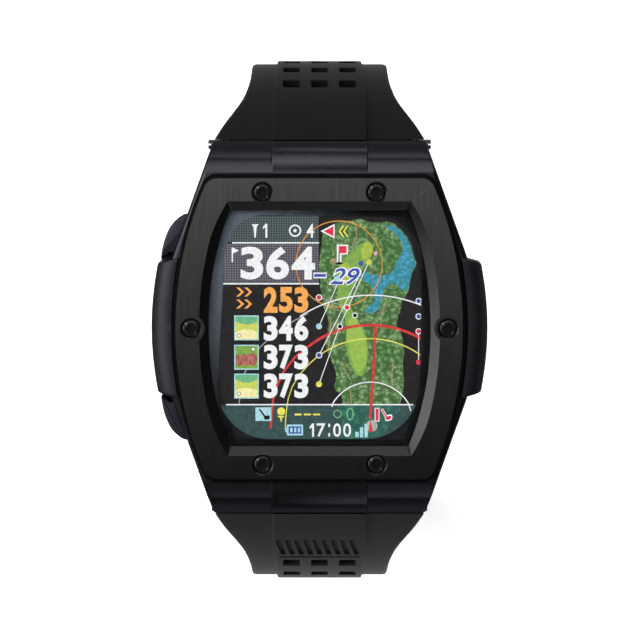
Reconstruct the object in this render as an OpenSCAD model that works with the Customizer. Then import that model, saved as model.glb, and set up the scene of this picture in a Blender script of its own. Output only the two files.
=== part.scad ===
// Golf GPS wrist watch: barrel-shaped case with a screwed bezel, side guards,
// two push-buttons on the left flank and a two-piece moulded rubber strap.
// Origin: centre of the case-back outer face. +Z leaves the dial, +Y points to
// 12 o'clock, +X to 3 o'clock. All lengths are in millimetres.

/* [Case] */
// Half width of the case middle at its waist, hidden under the side guards
case_hw = 22.9; // [22.7:0.1:23.0]
// Half length of the case middle, from its centre to the strap seam
case_hl = 27.0; // [26.9:0.05:27.0]
// Angle of the straight flanks to the 12-6 line
flank_ang = 19.8; // [19.4:0.1:20.2]
// Height of the case middle's top face, where the bezel sits
case_top = 11.0; // [10.8:0.1:11.0]
// Thickness of the case back
back_t = 1.2; // [1:0.1:1.2]
// Half width of the inner cavity
cav_hw = 16.9; // [16.7:0.1:16.9]
// Half length of the inner cavity
cav_hl = 17.9; // [17.8:0.05:17.9]

/* [Bezel] */
// Half width of the bezel
bezel_hw = 20.8; // [20.6:0.1:20.9]
// Half length of the bezel
bezel_hl = 21.8; // [21.7:0.1:21.9]
// Radius of the bezel's long curved sides
bezel_r = 52.4; // [50:0.2:56]
// Top face of the bezel
bezel_top = 13.4; // [13.3:0.1:13.6]
// Radius of the bezel screw heads
bscrew_r = 1.25; // [1.1:0.05:1.25]

/* [Crystal] */
// Half width of the visible glass
glass_hw = 16.0; // [15.8:0.1:16.0]
// Half length of the visible glass
glass_hl = 17.0; // [16.8:0.1:17.0]
// Top face of the crystal
glass_top = 12.45; // [12.4:0.05:12.45]

/* [Side guards] */
// Half width over the side guards
guard_hw = 24.3; // [24.1:0.1:24.5]
// Half length of a side guard
guard_hl = 9.4; // [9.2:0.1:9.4]

/* [Buttons] */
// Button travel
btn_travel = 0.5; // [0.3:0.1:0.5]
// Height of a button cap
btn_h = 5.0; // [4.6:0.1:5.0]
// Radius of a button stem
stem_r = 0.85; // [0.8:0.01:0.86]

/* [Strap] */
// Half width of the strap beyond its shoulders
strap_hw = 9.95; // [9.8:0.05:10]
// Half width of the strap at its ends
strap_end_hw = 9.1; // [9.0:0.05:9.2]
// Thickness of the strap halfway along
strap_t = 3.0; // [2.8:0.1:3.1]
// Height of the raised centre rib
rib_h = 0.7; // [0.5:0.1:0.8]
// Radius of the strap bars
bar_r = 0.9; // [0.85:0.01:0.9]

/* [Hidden] */
$fn = 48;
EY = 26.35;                 // strap bar, distance from the centre
EZ = 5.4;                   // strap bar, height
ear_r = 2.3;
QY = 23.9;                  // buckle bar, position
QZ = -59.1;
floor_z = -61;              // lowest line of both strap halves
bscrews = [[8.2, 19.6], [-8.2, 19.6], [8.2, -19.6], [-8.2, -19.6], [18.5, 0], [-18.5, 0]];
cscrews = [[12.6, 19.2], [-12.6, 19.2], [12.6, -19.2], [-12.6, -19.2]];
posts = [[11.6, 13.2], [11.6, -13.2], [-9.2, -13.6]];

// ---------- outlines ----------
// one quadrant of a barrel with curved sides (radius R) and filleted corners
function q_ton(hw, R, hl, r, n = 10, m = 4) =
  let (cx = hw - R, a = asin((hl - r)/(R - r)),
       fx = cx + sqrt((R - r)*(R - r) - (hl - r)*(hl - r)), fy = hl - r)
  concat([for (i = [0:n - 1]) let (t = a*(i + 0.5)/n) [cx + R*cos(t), R*sin(t)]],
         [for (i = [0:m]) let (t = a + (90 - a)*i/m) [fx + r*cos(t), fy + r*sin(t)]]);
// one quadrant of a barrel with a curved waist and straight flanks
function q_bar(hw, ya, ang, yl, r, n = 10, m = 4) =
  let (R = ya/sin(ang), xa = hw - R*(1 - cos(ang)),
       xl = xa - (yl - r - ya)*tan(ang), fx = xl - r/cos(ang), fy = yl - r)
  concat([for (i = [0:n]) let (t = ang*(i + 0.5)/(n + 0.5)) [hw - R + R*cos(t), R*sin(t)]],
         [for (i = [0:m]) let (t = ang + (90 - ang)*i/m) [fx + r*cos(t), fy + r*sin(t)]]);
function mirror4(q) = let (k = len(q) - 1)
  concat(q, [for (i = [k:-1:0]) [-q[i][0], q[i][1]]],
         [for (i = [0:k]) [-q[i][0], -q[i][1]]], [for (i = [k:-1:0]) [q[i][0], -q[i][1]]]);
module ton(hw, R, hl, r) polygon(mirror4(q_ton(hw, R, hl, r)));
module case_outline(d = 0) polygon(mirror4(q_bar(case_hw + d, 11.4, flank_ang, case_hl + d, 0.6)));

// ---------- curves ----------
function bz(p, t) = pow(1 - t, 3)*p[0] + 3*t*pow(1 - t, 2)*p[1] + 3*t*t*(1 - t)*p[2] + t*t*t*p[3];
function dbz(p, t) = 3*pow(1 - t, 2)*(p[1] - p[0]) + 6*t*(1 - t)*(p[2] - p[1]) + 3*t*t*(p[3] - p[2]);
function inw(d) = let (u = d/norm(d)) [u[1], -u[0]];
// extrude a (Y, Z) profile along X, centred
module along_x(w) rotate([90, 0, 90]) linear_extrude(w, center = true) children();
module xcyl(r, x0, x1) translate([x0, 0, 0]) rotate([0, 90, 0]) cylinder(r = r, h = x1 - x0);

// outer line of a strap half: shoulder, bend, straight, end
S1 = [[27.12, 8.3], [33, 3.7], [37.95, -4], [37.95, -12]];
S2 = [[37.95, -12], [37.95, -15.2], [37.72, -19.6], [37, -22]];
S3 = [[31, -42], [29.2, -48], [28.0, -52], [26.2, -57.4]];      // short half
L3 = [[31, -42], [28.6, -50], [29.5, -61], [18, -61]];          // long half
// samples: [point, inward normal, thickness]
function smp(B, n, t0, t1, first) = [for (i = [first:n]) let (t = i/n)
  [bz(B, t), inw(dbz(B, t)), t0 + (t1 - t0)*t]];
short_path = concat(smp(S1, 16, 3.9, 3.3, 0), smp(S2, 6, 3.3, strap_t, 1),
  smp(S3, 10, strap_t, 2.8, 0));
long_path = concat(smp(S1, 16, 3.9, 3.3, 0), smp(S2, 6, 3.3, strap_t, 1),
  smp(L3, 18, strap_t, 2.5, 0), [[[12.4, -61], [0, 1], 2.3]]);
function off_line(P, k) = [for (s = P) s[0] + s[1]*k*s[2]];
function rev(v) = [for (i = [len(v) - 1:-1:0]) v[i]];
module strap_profile(P) polygon(concat(off_line(P, 0), rev(off_line(P, 1))));
// the rib thins from its full height at the case end down the strap
function rib_at(i) = rib_h - min(i, 16)*0.23/16;
module rib_profile(P, a, b) let (Q = [for (i = [a:b]) P[i]])
  polygon(concat([for (i = [a:b]) P[i][0] - P[i][1]*rib_at(i)], rev(off_line(Q, 0.3))));

shoulder = [[15.35, 27.0], [14.55, 28.4], [13.55, 29.9], [12.4, 31.4], [11.4, 32.9],
  [10.75, 34.2], [10.3, 35.6], [10.05, 37.0], [strap_hw, 38.6]];
flare = [[strap_hw, -14], [strap_hw + 0.05, -11], [10.3, -8], [10.9, -5], [11.9, -2], [13.3, 1],
  [14.8, 4], [16.5, 7], [16.5, 16]];
module strap_widths() {
  intersection() {
    translate([0, 0, -14]) linear_extrude(30)
      polygon(concat(shoulder, [[strap_hw, 45], [-strap_hw, 45]],
        rev([for (p = shoulder) [-p[0], p[1]]])));
    rotate([90, 0, 0]) translate([0, 0, -60]) linear_extrude(70)
      polygon(concat(flare, rev([for (p = flare) [-p[0], p[1]]])));
  }
  rotate([90, 0, 0]) translate([0, 0, -60]) linear_extrude(70)
    polygon([[-strap_hw, -13.9], [-strap_end_hw, -58], [-strap_end_hw, -70],
      [strap_end_hw, -70], [strap_end_hw, -58], [strap_hw, -13.9]]);
}
// a through slot, normal to the strap at sample s
module slot_at(s, x, w, l) let (n = s[1])
  translate([x, s[0][0] + n[0]*1.2, s[0][1] + n[1]*1.2])
    rotate([atan2(n[1], n[0]), 0, 0]) cube([w, 8, l], center = true);

// rows of three vent slots through the raised rib
module vent_slots() for (s = [for (t = [0.493, 0.69, 0.89]) [bz(S1, t), inw(dbz(S1, t))], [bz(S2, 0.3), inw(dbz(S2, 0.3))]])
  for (x = [-4.1, 0, 4.1]) slot_at(s, x, 2.4, 1.9);

// moulded strap head: knuckle on the bar, clearance for the case ears
module strap_half(P, nrib) {
  difference() {
    union() {
      intersection() {
        along_x(40) strap_profile(P);
        strap_widths();
        translate([-20, 27.12, -70]) cube([40, 30, 100]);
      }
      intersection() {
        along_x(40) strap_profile(P);
        strap_widths();
        translate([-20, 0, -70]) cube([40, 50, 60]);
      }
      intersection() {
        along_x(13.4) rib_profile(P, 0, nrib);
        translate([-20, 27.12, -70]) cube([40, 30, 100]);
      }
      translate([0, EY, EZ]) xcyl(ear_r, -6.6, 6.6);
      along_x(13.2) polygon([[EY, 7.5], [27.2, 7.5], [29.5, 6.6], [30, 3.2], [27.9, 3.15], [EY, 3.15]]);
    }
    translate([0, EY, EZ]) {
      xcyl(bar_r + 0.05, -8, 8);
      xcyl(ear_r + 0.28, 6.75, 13.5);
      xcyl(ear_r + 0.28, -13.5, -6.75);
    }
    for (s = [-1, 1]) translate([s*11.4, 0, 0])
      along_x(9.4) polygon([[26, EZ], [27.12, EZ], [28.0, 1.5], [26, 1.5]]);
  }
}
module strap_upper() color([0.11, 0.11, 0.12]) difference() {
  union() {
    strap_half(short_path, 24);
    translate([0, QY, QZ]) xcyl(1.9, -9.0, 9.0);
    along_x(18) polygon([[26.4, -56.4], [25.72, -58.5], [24.6, -60.3], [22.2, -58.4], [23.5, -55.6]]);
  }
  translate([0, QY, QZ]) xcyl(0.86, -12, 12);
  translate([-1.7, 19, -64]) cube([3.4, 7.4, 7.3]);
  vent_slots();
}
module strap_lower() color([0.11, 0.11, 0.12]) mirror([0, 1, 0]) difference() {
  intersection() {
    strap_half(long_path, 34);
    union() {
      translate([-20, 21.5, -70]) cube([40, 40, 100]);
      translate([0, 21.5, -70]) cylinder(r = strap_end_hw, h = 30, $fn = 64);
    }
  }
  vent_slots();
  for (i = [20, 22, 26, 29, 32, 35, 39]) slot_at(long_path[i], 0, 2.4, 1.8);
}

// ---------- case ----------
wing_top = concat([for (i = [0:4]) bz([[22.4, case_top], [23.2, case_top - 0.13], [23.8, case_top - 0.27], [24.3, case_top - 0.45]], i/4)],
  [for (i = [1:8]) bz([[24.3, case_top - 0.45], [24.9, case_top - 0.7], [26.0, 9.5], [27, 8.3]], i/8)]);
rib_top = concat([for (i = [0:4]) bz([[22.8, case_top], [23.9, case_top - 0.02], [24.7, case_top - 0.12], [25.3, case_top - 0.35]], i/4)],
  [for (i = [1:7]) bz([[25.3, case_top - 0.35], [25.8, case_top - 0.6], [26.5, 9.85], [27, 9.1]], i/7)]);
module end_profile(T) polygon(concat([[0, back_t], [0, case_top]], T,
  [[27, EZ], [26.35, 3.1], [25.2, 3.0], [21.8, back_t]]));
module both_ends() { children(); mirror([0, 1, 0]) children(); }
module both_sides() { children(); mirror([1, 0, 0]) children(); }
module case_middle() color([0.12, 0.12, 0.13]) difference() {
  union() {
    intersection() {
      translate([0, 0, back_t]) linear_extrude(case_top - back_t) case_outline();
      both_ends() along_x(60) end_profile(wing_top);
    }
    both_ends() along_x(13.8) end_profile(rib_top);
    both_ends() both_sides() translate([0, EY, EZ]) xcyl(ear_r, 7.0, 13.2);
  }
  translate([0, 0, 0.5]) linear_extrude(20) ton(cav_hw, 52, cav_hl, 3);
  // gasket groove round the cavity
  translate([0, 0, back_t - 1]) linear_extrude(1.5) ton(cav_hw + 0.75, 52, cav_hl + 0.7, 3.5);
  // open pocket for the strap knuckle
  both_ends() {
    translate([0, EY, EZ]) xcyl(2.6, -6.85, 6.85);
    translate([-6.85, EY - 2.6, 0]) cube([13.7, 8, EZ]);
    translate([-6.85, EY + 0.68, 0]) cube([13.7, 4, 7.4]);
    translate([0, EY, EZ]) xcyl(bar_r, -13.4, 13.4);
    translate([0, EY, EZ]) xcyl(0.78, -17, 17);
  }
  for (p = bscrews) translate([p[0], p[1], 5.8]) cylinder(r = 0.7, h = 8);
  for (p = cscrews) translate([p[0], p[1], 0]) cylinder(r = 0.6, h = 5);
  // side guard screws, fitted from the cavity
  both_ends() both_sides() translate([0, 4.6, 6]) {
    xcyl(0.6, 14, 24);
    xcyl(1.2, 14, 17.9);
  }
  both_ends() in_button() button_pocket();
}
module case_back() color([0.2, 0.2, 0.21]) difference() {
  linear_extrude(back_t) ton(19.4, bezel_r, 21.3, 2.5);
  for (p = cscrews) translate([p[0], p[1], -1]) { cylinder(r = 0.65, h = 4); cylinder(r = 1.35, h = 1.8); }
  translate([-9.9, 12.1, -1]) cube([10.1, 2.8, 4]);
}
module case_back_gasket() color([0.05, 0.05, 0.05]) translate([0, 0, back_t + 0.02]) linear_extrude(0.46)
  difference() { ton(cav_hw + 0.7, 52, cav_hl + 0.65, 3.5); ton(cav_hw + 0.1, 52, cav_hl + 0.1, 3.1); }
module case_back_screws() color([0.3, 0.3, 0.32]) for (p = cscrews) translate([p[0], p[1], 0.08]) difference() {
  union() { cylinder(r = 1.3, h = 0.7); cylinder(r = 0.6, h = 4.8); }
  translate([-0.95, -0.17, -1]) cube([1.9, 0.34, 1.4]);
  translate([-0.17, -0.95, -1]) cube([0.34, 1.9, 1.4]);
}
module bezel() color([0.2, 0.2, 0.21]) difference() {
  union() {
    difference() {
      union() {
        translate([0, 0, case_top + 0.02]) linear_extrude(bezel_top - case_top - 0.02) ton(bezel_hw, bezel_r, bezel_hl, 2.0);
        translate([0, 0, case_top + 0.02]) linear_extrude(1.1) ton(bezel_hw + 0.45, bezel_r, bezel_hl + 0.5, 2.4);
      }
      hull() {
        translate([0, 0, glass_top + 0.04]) linear_extrude(0.01) ton(glass_hw, 47, glass_hl, 0.6);
        translate([0, 0, bezel_top]) linear_extrude(0.01) ton(glass_hw + 1.3, 45, glass_hl + 1.35, 0.6);
      }
      translate([0, 0, 10]) linear_extrude(3) ton(glass_hw, 47, glass_hl, 0.6);
    }
    both_sides() intersection() {
      translate([18.5, 0, glass_top + 0.05]) cylinder(r = 2.0, h = bezel_top - glass_top - 0.05);
      translate([0, 0, 10]) linear_extrude(5) ton(bezel_hw, bezel_r, bezel_hl, 2.0);
    }
  }
  translate([0, 0, 10]) linear_extrude(glass_top + 0.05 - 10) ton(17.0, 47, 18.0, 1.2);
  for (p = bscrews) translate([p[0], p[1], 0]) { cylinder(r = 0.75, h = 20); translate([0, 0, 11.9]) cylinder(r = bscrew_r + 0.1, h = 3); }
}
module bezel_screws() color([0.14, 0.14, 0.15]) for (p = bscrews) translate([p[0], p[1], 0]) difference() {
  union() { translate([0, 0, 6]) cylinder(r = 0.7, h = 6.5); translate([0, 0, 11.9]) cylinder(r = bscrew_r, h = 1.25); }
  translate([0, 0, 12.2]) cylinder(r = 0.72, h = 2, $fn = 6);
}
module crystal() color([0.5, 0.55, 0.6, 0.4]) translate([0, 0, 11.25]) linear_extrude(glass_top - 11.25) ton(16.4, 47, 17.4, 0.9);
module crystal_gasket() color([0.05, 0.05, 0.05]) translate([0, 0, 11.25]) linear_extrude(glass_top - 11.3)
  difference() { ton(16.95, 47, 17.95, 1.1); ton(16.45, 47, 17.45, 0.95); }
module display_mask() color([0.02, 0.02, 0.02]) translate([0, 0, 11.05]) linear_extrude(0.18)
  difference() { ton(16.3, 47, 17.3, 0.9); intersection() { ton(14.9, 47, 16.0, 4.5); } }
module touch_panel() color([0.3, 0.3, 0.34]) translate([0, 0, 10.72]) linear_extrude(0.3) ton(15.6, 47, 16.6, 3);
module display_module() color([0.1, 0.1, 0.12]) translate([0, 0, 9.3]) linear_extrude(1.4) ton(15.4, 47, 16.4, 3);
module display_flex() color([0.75, 0.45, 0.12]) {
  translate([-4, -16.9, 7.2]) cube([8, 0.15, 2.9]);
  translate([-4, -16.75, 9.9]) cube([8, 0.35, 0.15]);
  translate([-4, -16.75, 7.2]) cube([8, 4.2, 0.15]);
}
module inner_frame() color([0.16, 0.16, 0.18]) difference() {
  union() {
    translate([0, 0, 8.4]) linear_extrude(0.8) ton(16.6, 52, 17.6, 2.9);
    for (p = posts) translate([p[0], p[1], 6.75]) cylinder(r = 1.3, h = 1.7);
  }
  translate([-6.4, -5, 8]) cube([14.4, 20.5, 2]);
  for (p = posts) translate([p[0], p[1], 6]) cylinder(r = 0.5, h = 2);
  translate([-4.4, -19, 8]) cube([8.8, 2.6, 2]);
  translate([-18, -12.4, 8]) cube([6.8, 3.6, 2]);
}
module main_pcb() color([0.05, 0.3, 0.12]) difference() {
  translate([0, 0, 5.9]) linear_extrude(0.8)
    polygon([[-10.8, -13], [-8, -15.6], [11, -15.6], [13.6, -13], [14.2, 0], [13.6, 13], [11, 15.6], [-8, 15.6], [-10.8, 13]]);
  for (p = posts) translate([p[0], p[1], 5]) cylinder(r = 0.55, h = 2);
}
module processor_chip() color([0.08, 0.08, 0.09]) translate([-5.4, -4, 6.72]) cube([6.5, 6.5, 1.0]);
module shield_can() color([0.7, 0.7, 0.72]) difference() {
  translate([-5.6, -12.4, 6.72]) cube([12, 7, 1.3]);
  translate([-5.4, -12.2, 6.6]) cube([11.6, 6.6, 1.25]);
}
module gps_antenna() color([0.75, 0.7, 0.6]) translate([-4.6, 4, 6.72]) cube([10.5, 10.5, 2.2]);
module battery() color([0.75, 0.76, 0.78]) translate([-10, -15.2, 1.5]) linear_extrude(3.8)
  polygon([[0, 1.5], [1.5, 0], [20.5, 0], [22, 1.5], [22, 21.8], [20.5, 23.3], [1.5, 23.3], [0, 21.8]]);
module battery_lead() color([0.7, 0.1, 0.08]) {
  translate([12.02, -6, 3.2]) cube([0.9, 2.4, 0.4]);
  translate([12.52, -6, 3.2]) cube([0.4, 2.4, 2.68]);
}
module vibration_motor() color([0.78, 0.78, 0.8]) translate([6.6, 12.6, 1.5]) cylinder(r = 4.0, h = 2.7);
module charging_contact_block() color([0.06, 0.06, 0.06]) difference() {
  union() {
    translate([-9.8, 12.2, 0.05]) cube([9.9, 2.6, 1.3]);
    translate([-10.4, 11.5, 1.25]) cube([11.1, 4.0, 3.4]);
  }
  for (i = [0:3]) translate([-8.6 + i*2.5, 13.5, 0]) { translate([0, 0, -1]) cylinder(r = 0.8, h = 1.6); cylinder(r = 0.5, h = 8); }
}
module charging_contacts() color([0.85, 0.65, 0.25]) for (i = [0:3]) translate([-8.6 + i*2.5, 13.5, 0])
  { translate([0, 0, 0.08]) cylinder(r = 0.78, h = 0.5); translate([0, 0, 0.3]) cylinder(r = 0.49, h = 5.58); }
module pcb_screws() color([0.6, 0.6, 0.62]) for (p = posts) translate([p[0], p[1], 5.3]) difference() {
  union() { cylinder(r = 1.1, h = 0.58); cylinder(r = 0.5, h = 2.5); }
  translate([-0.8, -0.12, -1]) cube([1.6, 0.24, 1.3]);
}

// ---------- side guards ----------
guard_q = [for (i = [0:6]) let (y = (guard_hl - 0.6)*(i + 0.3)/6.3) [guard_hw - 0.95*y*y/(guard_hl*guard_hl), y]];
module guard_outline() polygon(concat(guard_q,
    [[guard_hw - 1.05, guard_hl - 0.15], [guard_hw - 1.6, guard_hl + 0.1], [21.0, 9.9], [19.6, 9.9],
     [19.6, -9.9], [21.0, -9.9], [guard_hw - 1.6, -guard_hl - 0.1], [guard_hw - 1.05, 0.15 - guard_hl]],
    [for (i = [6:-1:0]) [guard_q[i][0], -guard_q[i][1]]]));
module side_guard_right() color([0.12, 0.12, 0.13]) difference() {
  translate([0, 0, 2.8]) linear_extrude(9.2) guard_outline();
  translate([0, 0, 0]) linear_extrude(case_top + 0.02) case_outline(0.02);
  linear_extrude(20) ton(bezel_hw + 0.52, bezel_r, bezel_hl + 1, 2.0);
  both_ends() translate([0, 4.6, 6]) xcyl(0.6, 14, 23.4);
}
// low toe that closes the view under each button cap
module guard_toe() translate([0, 0, 2.8]) linear_extrude(1.3) difference() {
  polygon([[20, 8], [23.2, 8], [23.2, 9.2], [23.0, 10.0], [22.55, 10.8], [20, 10.8]]);
  case_outline(0.02);
}
module side_guard_left() mirror([1, 0, 0]) union() { side_guard_right(); both_ends() guard_toe(); }
module guard_screws() color([0.55, 0.55, 0.57]) both_ends() both_sides() translate([0, 4.6, 6]) difference() {
  union() { xcyl(1.1, 17.0, 17.88); xcyl(0.59, 17.5, 23.3); }
  translate([16, -0.75, -0.13]) cube([1.4, 1.5, 0.26]);
}

// ---------- buttons ----------
// local frame: +X leaves the flank, origin on the flank at the button axis
module in_button() translate([-20.36, 12.9, 6.8]) rotate([0, 0, 180 - flank_ang]) children();
module button_pocket() {
  translate([-1.8, -3.75, -btn_h/2 - 0.15]) cube([4, 6.65, btn_h + 0.3]);
  xcyl(1.95, -3.4, 0);
  xcyl(stem_r + 0.05, -8, 0);
  xcyl(1.8, -8, -4.9);          // spot face for the clip
}
module button_cap() color([0.1, 0.11, 0.14]) difference() {
  translate([0, 0, -btn_h/2]) linear_extrude(btn_h) polygon([[-1.1, -3.6], [0.1, -3.6], [0.55, -3.3], [1.0, -2.75],
    [1.4, -2.1], [1.68, -1.3], [1.83, -0.3], [1.85, 0.7], [1.78, 1.7], [1.66, 2.6], [1.52, 3.3], [1.42, 3.66], [1.25, 3.6], [1.0, 3.4],
    [0.5, 2.9], [0.1, 2.45], [-1.1, 2.45]]);
  xcyl(1.95, -2, 0.6);
  xcyl(stem_r, 0, 1.2);
}
module button_stem() color([0.6, 0.6, 0.62]) difference() {
  xcyl(stem_r, -5.8, 1.18);
  rotate([0, -90, 0]) for (z = [3.95, 5.0]) translate([0, 0, z]) difference() {
    cylinder(r = 2, h = z > 4.5 ? 0.32 : 0.5);
    translate([0, 0, -1]) cylinder(r = 0.58, h = 3);
  }
}
module button_oring() color([0.05, 0.05, 0.05]) rotate([0, -90, 0]) translate([0, 0, 4.2])
  rotate_extrude() translate([0.71, 0]) circle(r = 0.13, $fn = 24);
module button_clip() color([0.7, 0.7, 0.72]) rotate([0, -90, 0]) translate([0, 0, 5.02]) difference() {
  cylinder(r = 1.6, h = 0.28);
  translate([0, 0, -1]) cylinder(r = 0.59, h = 3);
  translate([-0.5, 0, -1]) cube([1.0, 3, 3]);
}
// helical compression spring round the stem
module button_spring() {
  turns = 4; ns = 14; k = 8; R = 1.5; w = 0.16; z0 = -3.2; L = 3.62;
  n = turns*ns;
  pts = [for (i = [0:n]) for (j = [0:k - 1]) let (a = 360*i/ns, b = 360*j/k)
    [z0 + L*i/n + w*sin(b), (R + w*cos(b))*cos(a), (R + w*cos(b))*sin(a)]];
  faces = concat([[for (j = [0:k - 1]) j]],
    [for (i = [0:n - 1]) for (j = [0:k - 1]) let (a = i*k + j, b = i*k + (j + 1)%k) [a, a + k, b + k, b]],
    [[for (j = [k - 1:-1:0]) n*k + j]]);
  color([0.75, 0.75, 0.77]) polyhedron(points = pts, faces = faces, convexity = 10);
}
module switch_body() difference() {
  translate([-8.1, -1.5, -1.5]) cube([1.6, 3, 3]);
  xcyl(0.55, -7.8, -6);
}
module switch_plunger() color([0.85, 0.85, 0.8]) xcyl(0.5, -7.0, -5.83);
module upper_button_cap() in_button() button_cap();
module upper_button_stem() in_button() button_stem();
module upper_button_oring() in_button() button_oring();
module upper_button_spring() in_button() button_spring();
module upper_button_clip() in_button() button_clip();
module lower_button_cap() mirror([0, 1, 0]) upper_button_cap();
module lower_button_stem() mirror([0, 1, 0]) upper_button_stem();
module lower_button_oring() mirror([0, 1, 0]) upper_button_oring();
module lower_button_spring() mirror([0, 1, 0]) upper_button_spring();
module lower_button_clip() mirror([0, 1, 0]) upper_button_clip();
module button_switches() color([0.7, 0.7, 0.72]) both_ends() in_button() switch_body();
module upper_switch_plunger() in_button() switch_plunger();
module lower_switch_plunger() mirror([0, 1, 0]) in_button() switch_plunger();
module side_key_board() color([0.75, 0.45, 0.12]) {
  both_ends() in_button() translate([-8.32, -2, -1.7]) cube([0.2, 4, 3.2]);
  translate([-12.2, -8.3, 5.3]) cube([0.2, 16.6, 2.8]);
}

// ---------- strap fittings ----------
module strap_bars() color([0.5, 0.5, 0.52]) both_ends() translate([0, EY, EZ]) difference() {
  xcyl(bar_r, -13.35, 13.35);
  xcyl(0.5, -15, -8.5);
  xcyl(0.5, 8.5, 15);
}
module strap_bar_screws() color([0.35, 0.35, 0.37]) both_ends() both_sides() translate([0, EY, EZ]) difference() {
  union() { xcyl(0.5, 9, 14); xcyl(0.76, 13.45, 15.95); }
  translate([15.5, -1, -0.14]) cube([1, 2, 0.28]);
}
// buckle, lying flat: arms run inward from the buckle bar
module buckle_frame() color([0.13, 0.13, 0.14]) difference() {
  union() {
    both_sides() {
      translate([0, QY, QZ]) xcyl(1.72, 9.3, 11.4);
      translate([9.3, 11.0, -60.7]) cube([2.1, 12.9, 2.5]);
    }
    translate([-11.4, 10.4, -60.7]) cube([22.8, 2.2, 2.5]);
  }
  translate([0, QY, QZ]) xcyl(0.8, -11.1, 11.1);
  translate([-1.4, 9, -62]) cube([2.8, 5, 2.35]);
}
module buckle_spring_bar() color([0.6, 0.6, 0.62]) translate([0, QY, QZ]) xcyl(0.79, -11.05, 11.05);
module buckle_tongue() color([0.5, 0.5, 0.52]) difference() {
  union() {
    translate([0, QY, QZ]) xcyl(1.5, -1.2, 1.2);
    translate([-1.1, 10.2, -60.85]) cube([2.2, 13.7, 1.0]);
  }
  translate([0, QY, QZ]) xcyl(0.86, -5, 5);
}
// keepers: rectangular rubber loops, local +Y leaves the strap's outer face
module keeper(l, hx, gin, gout) difference() {
  translate([-hx - 1.4, -gin - 1.4, -l/2]) cube([2*hx + 2.8, gin + gout + 2.8, l]);
  translate([-hx, -gin, -l]) cube([2*hx, gin + gout, 2*l]);
}
FK = [30.22, -44.6];   // free keeper centre, on the straight outer line
module free_keeper() color([0.1, 0.1, 0.11]) translate([0, FK[0], FK[1]]) rotate([-16.7, 0, 0])
  keeper(6, 9.95, 3.35, 2.9);
module fixed_keeper() color([0.1, 0.1, 0.11]) translate([0, 28.12, -51.6]) rotate([-17.6, 0, 0])
  keeper(5, 9.75, 3.25, 2.9);

case_middle();
case_back();
case_back_gasket();
case_back_screws();
bezel();
bezel_screws();
crystal();
crystal_gasket();
display_mask();
touch_panel();
display_module();
display_flex();
inner_frame();
main_pcb();
processor_chip();
shield_can();
gps_antenna();
battery();
battery_lead();
vibration_motor();
charging_contact_block();
charging_contacts();
pcb_screws();
side_guard_left();
side_guard_right();
guard_screws();
upper_button_cap();
upper_button_stem();
upper_button_oring();
upper_button_spring();
upper_button_clip();
lower_button_cap();
lower_button_stem();
lower_button_oring();
lower_button_spring();
lower_button_clip();
button_switches();
upper_switch_plunger();
lower_switch_plunger();
side_key_board();
strap_upper();
strap_lower();
strap_bars();
strap_bar_screws();
buckle_frame();
buckle_spring_bar();
buckle_tongue();
fixed_keeper();
free_keeper();
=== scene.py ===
import math
import bpy
import bmesh
import numpy as np
from mathutils import Vector, Matrix


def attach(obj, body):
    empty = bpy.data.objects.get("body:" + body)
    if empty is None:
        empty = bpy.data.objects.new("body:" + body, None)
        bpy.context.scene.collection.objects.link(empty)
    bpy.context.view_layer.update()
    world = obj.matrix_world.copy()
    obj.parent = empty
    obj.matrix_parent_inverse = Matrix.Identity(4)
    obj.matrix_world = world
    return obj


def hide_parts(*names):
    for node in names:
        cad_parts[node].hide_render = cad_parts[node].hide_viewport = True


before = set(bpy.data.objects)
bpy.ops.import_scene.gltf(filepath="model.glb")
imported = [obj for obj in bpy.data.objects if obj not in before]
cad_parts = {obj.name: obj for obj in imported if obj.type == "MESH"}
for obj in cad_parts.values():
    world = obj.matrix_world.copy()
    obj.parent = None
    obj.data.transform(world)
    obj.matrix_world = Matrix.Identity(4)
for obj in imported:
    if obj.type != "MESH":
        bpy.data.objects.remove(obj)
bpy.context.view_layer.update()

MM = 0.001
sc = bpy.context.scene
try:
    sc.view_settings.view_transform = "Standard"
    sc.view_settings.look = "None"
except Exception:
    pass


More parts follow.
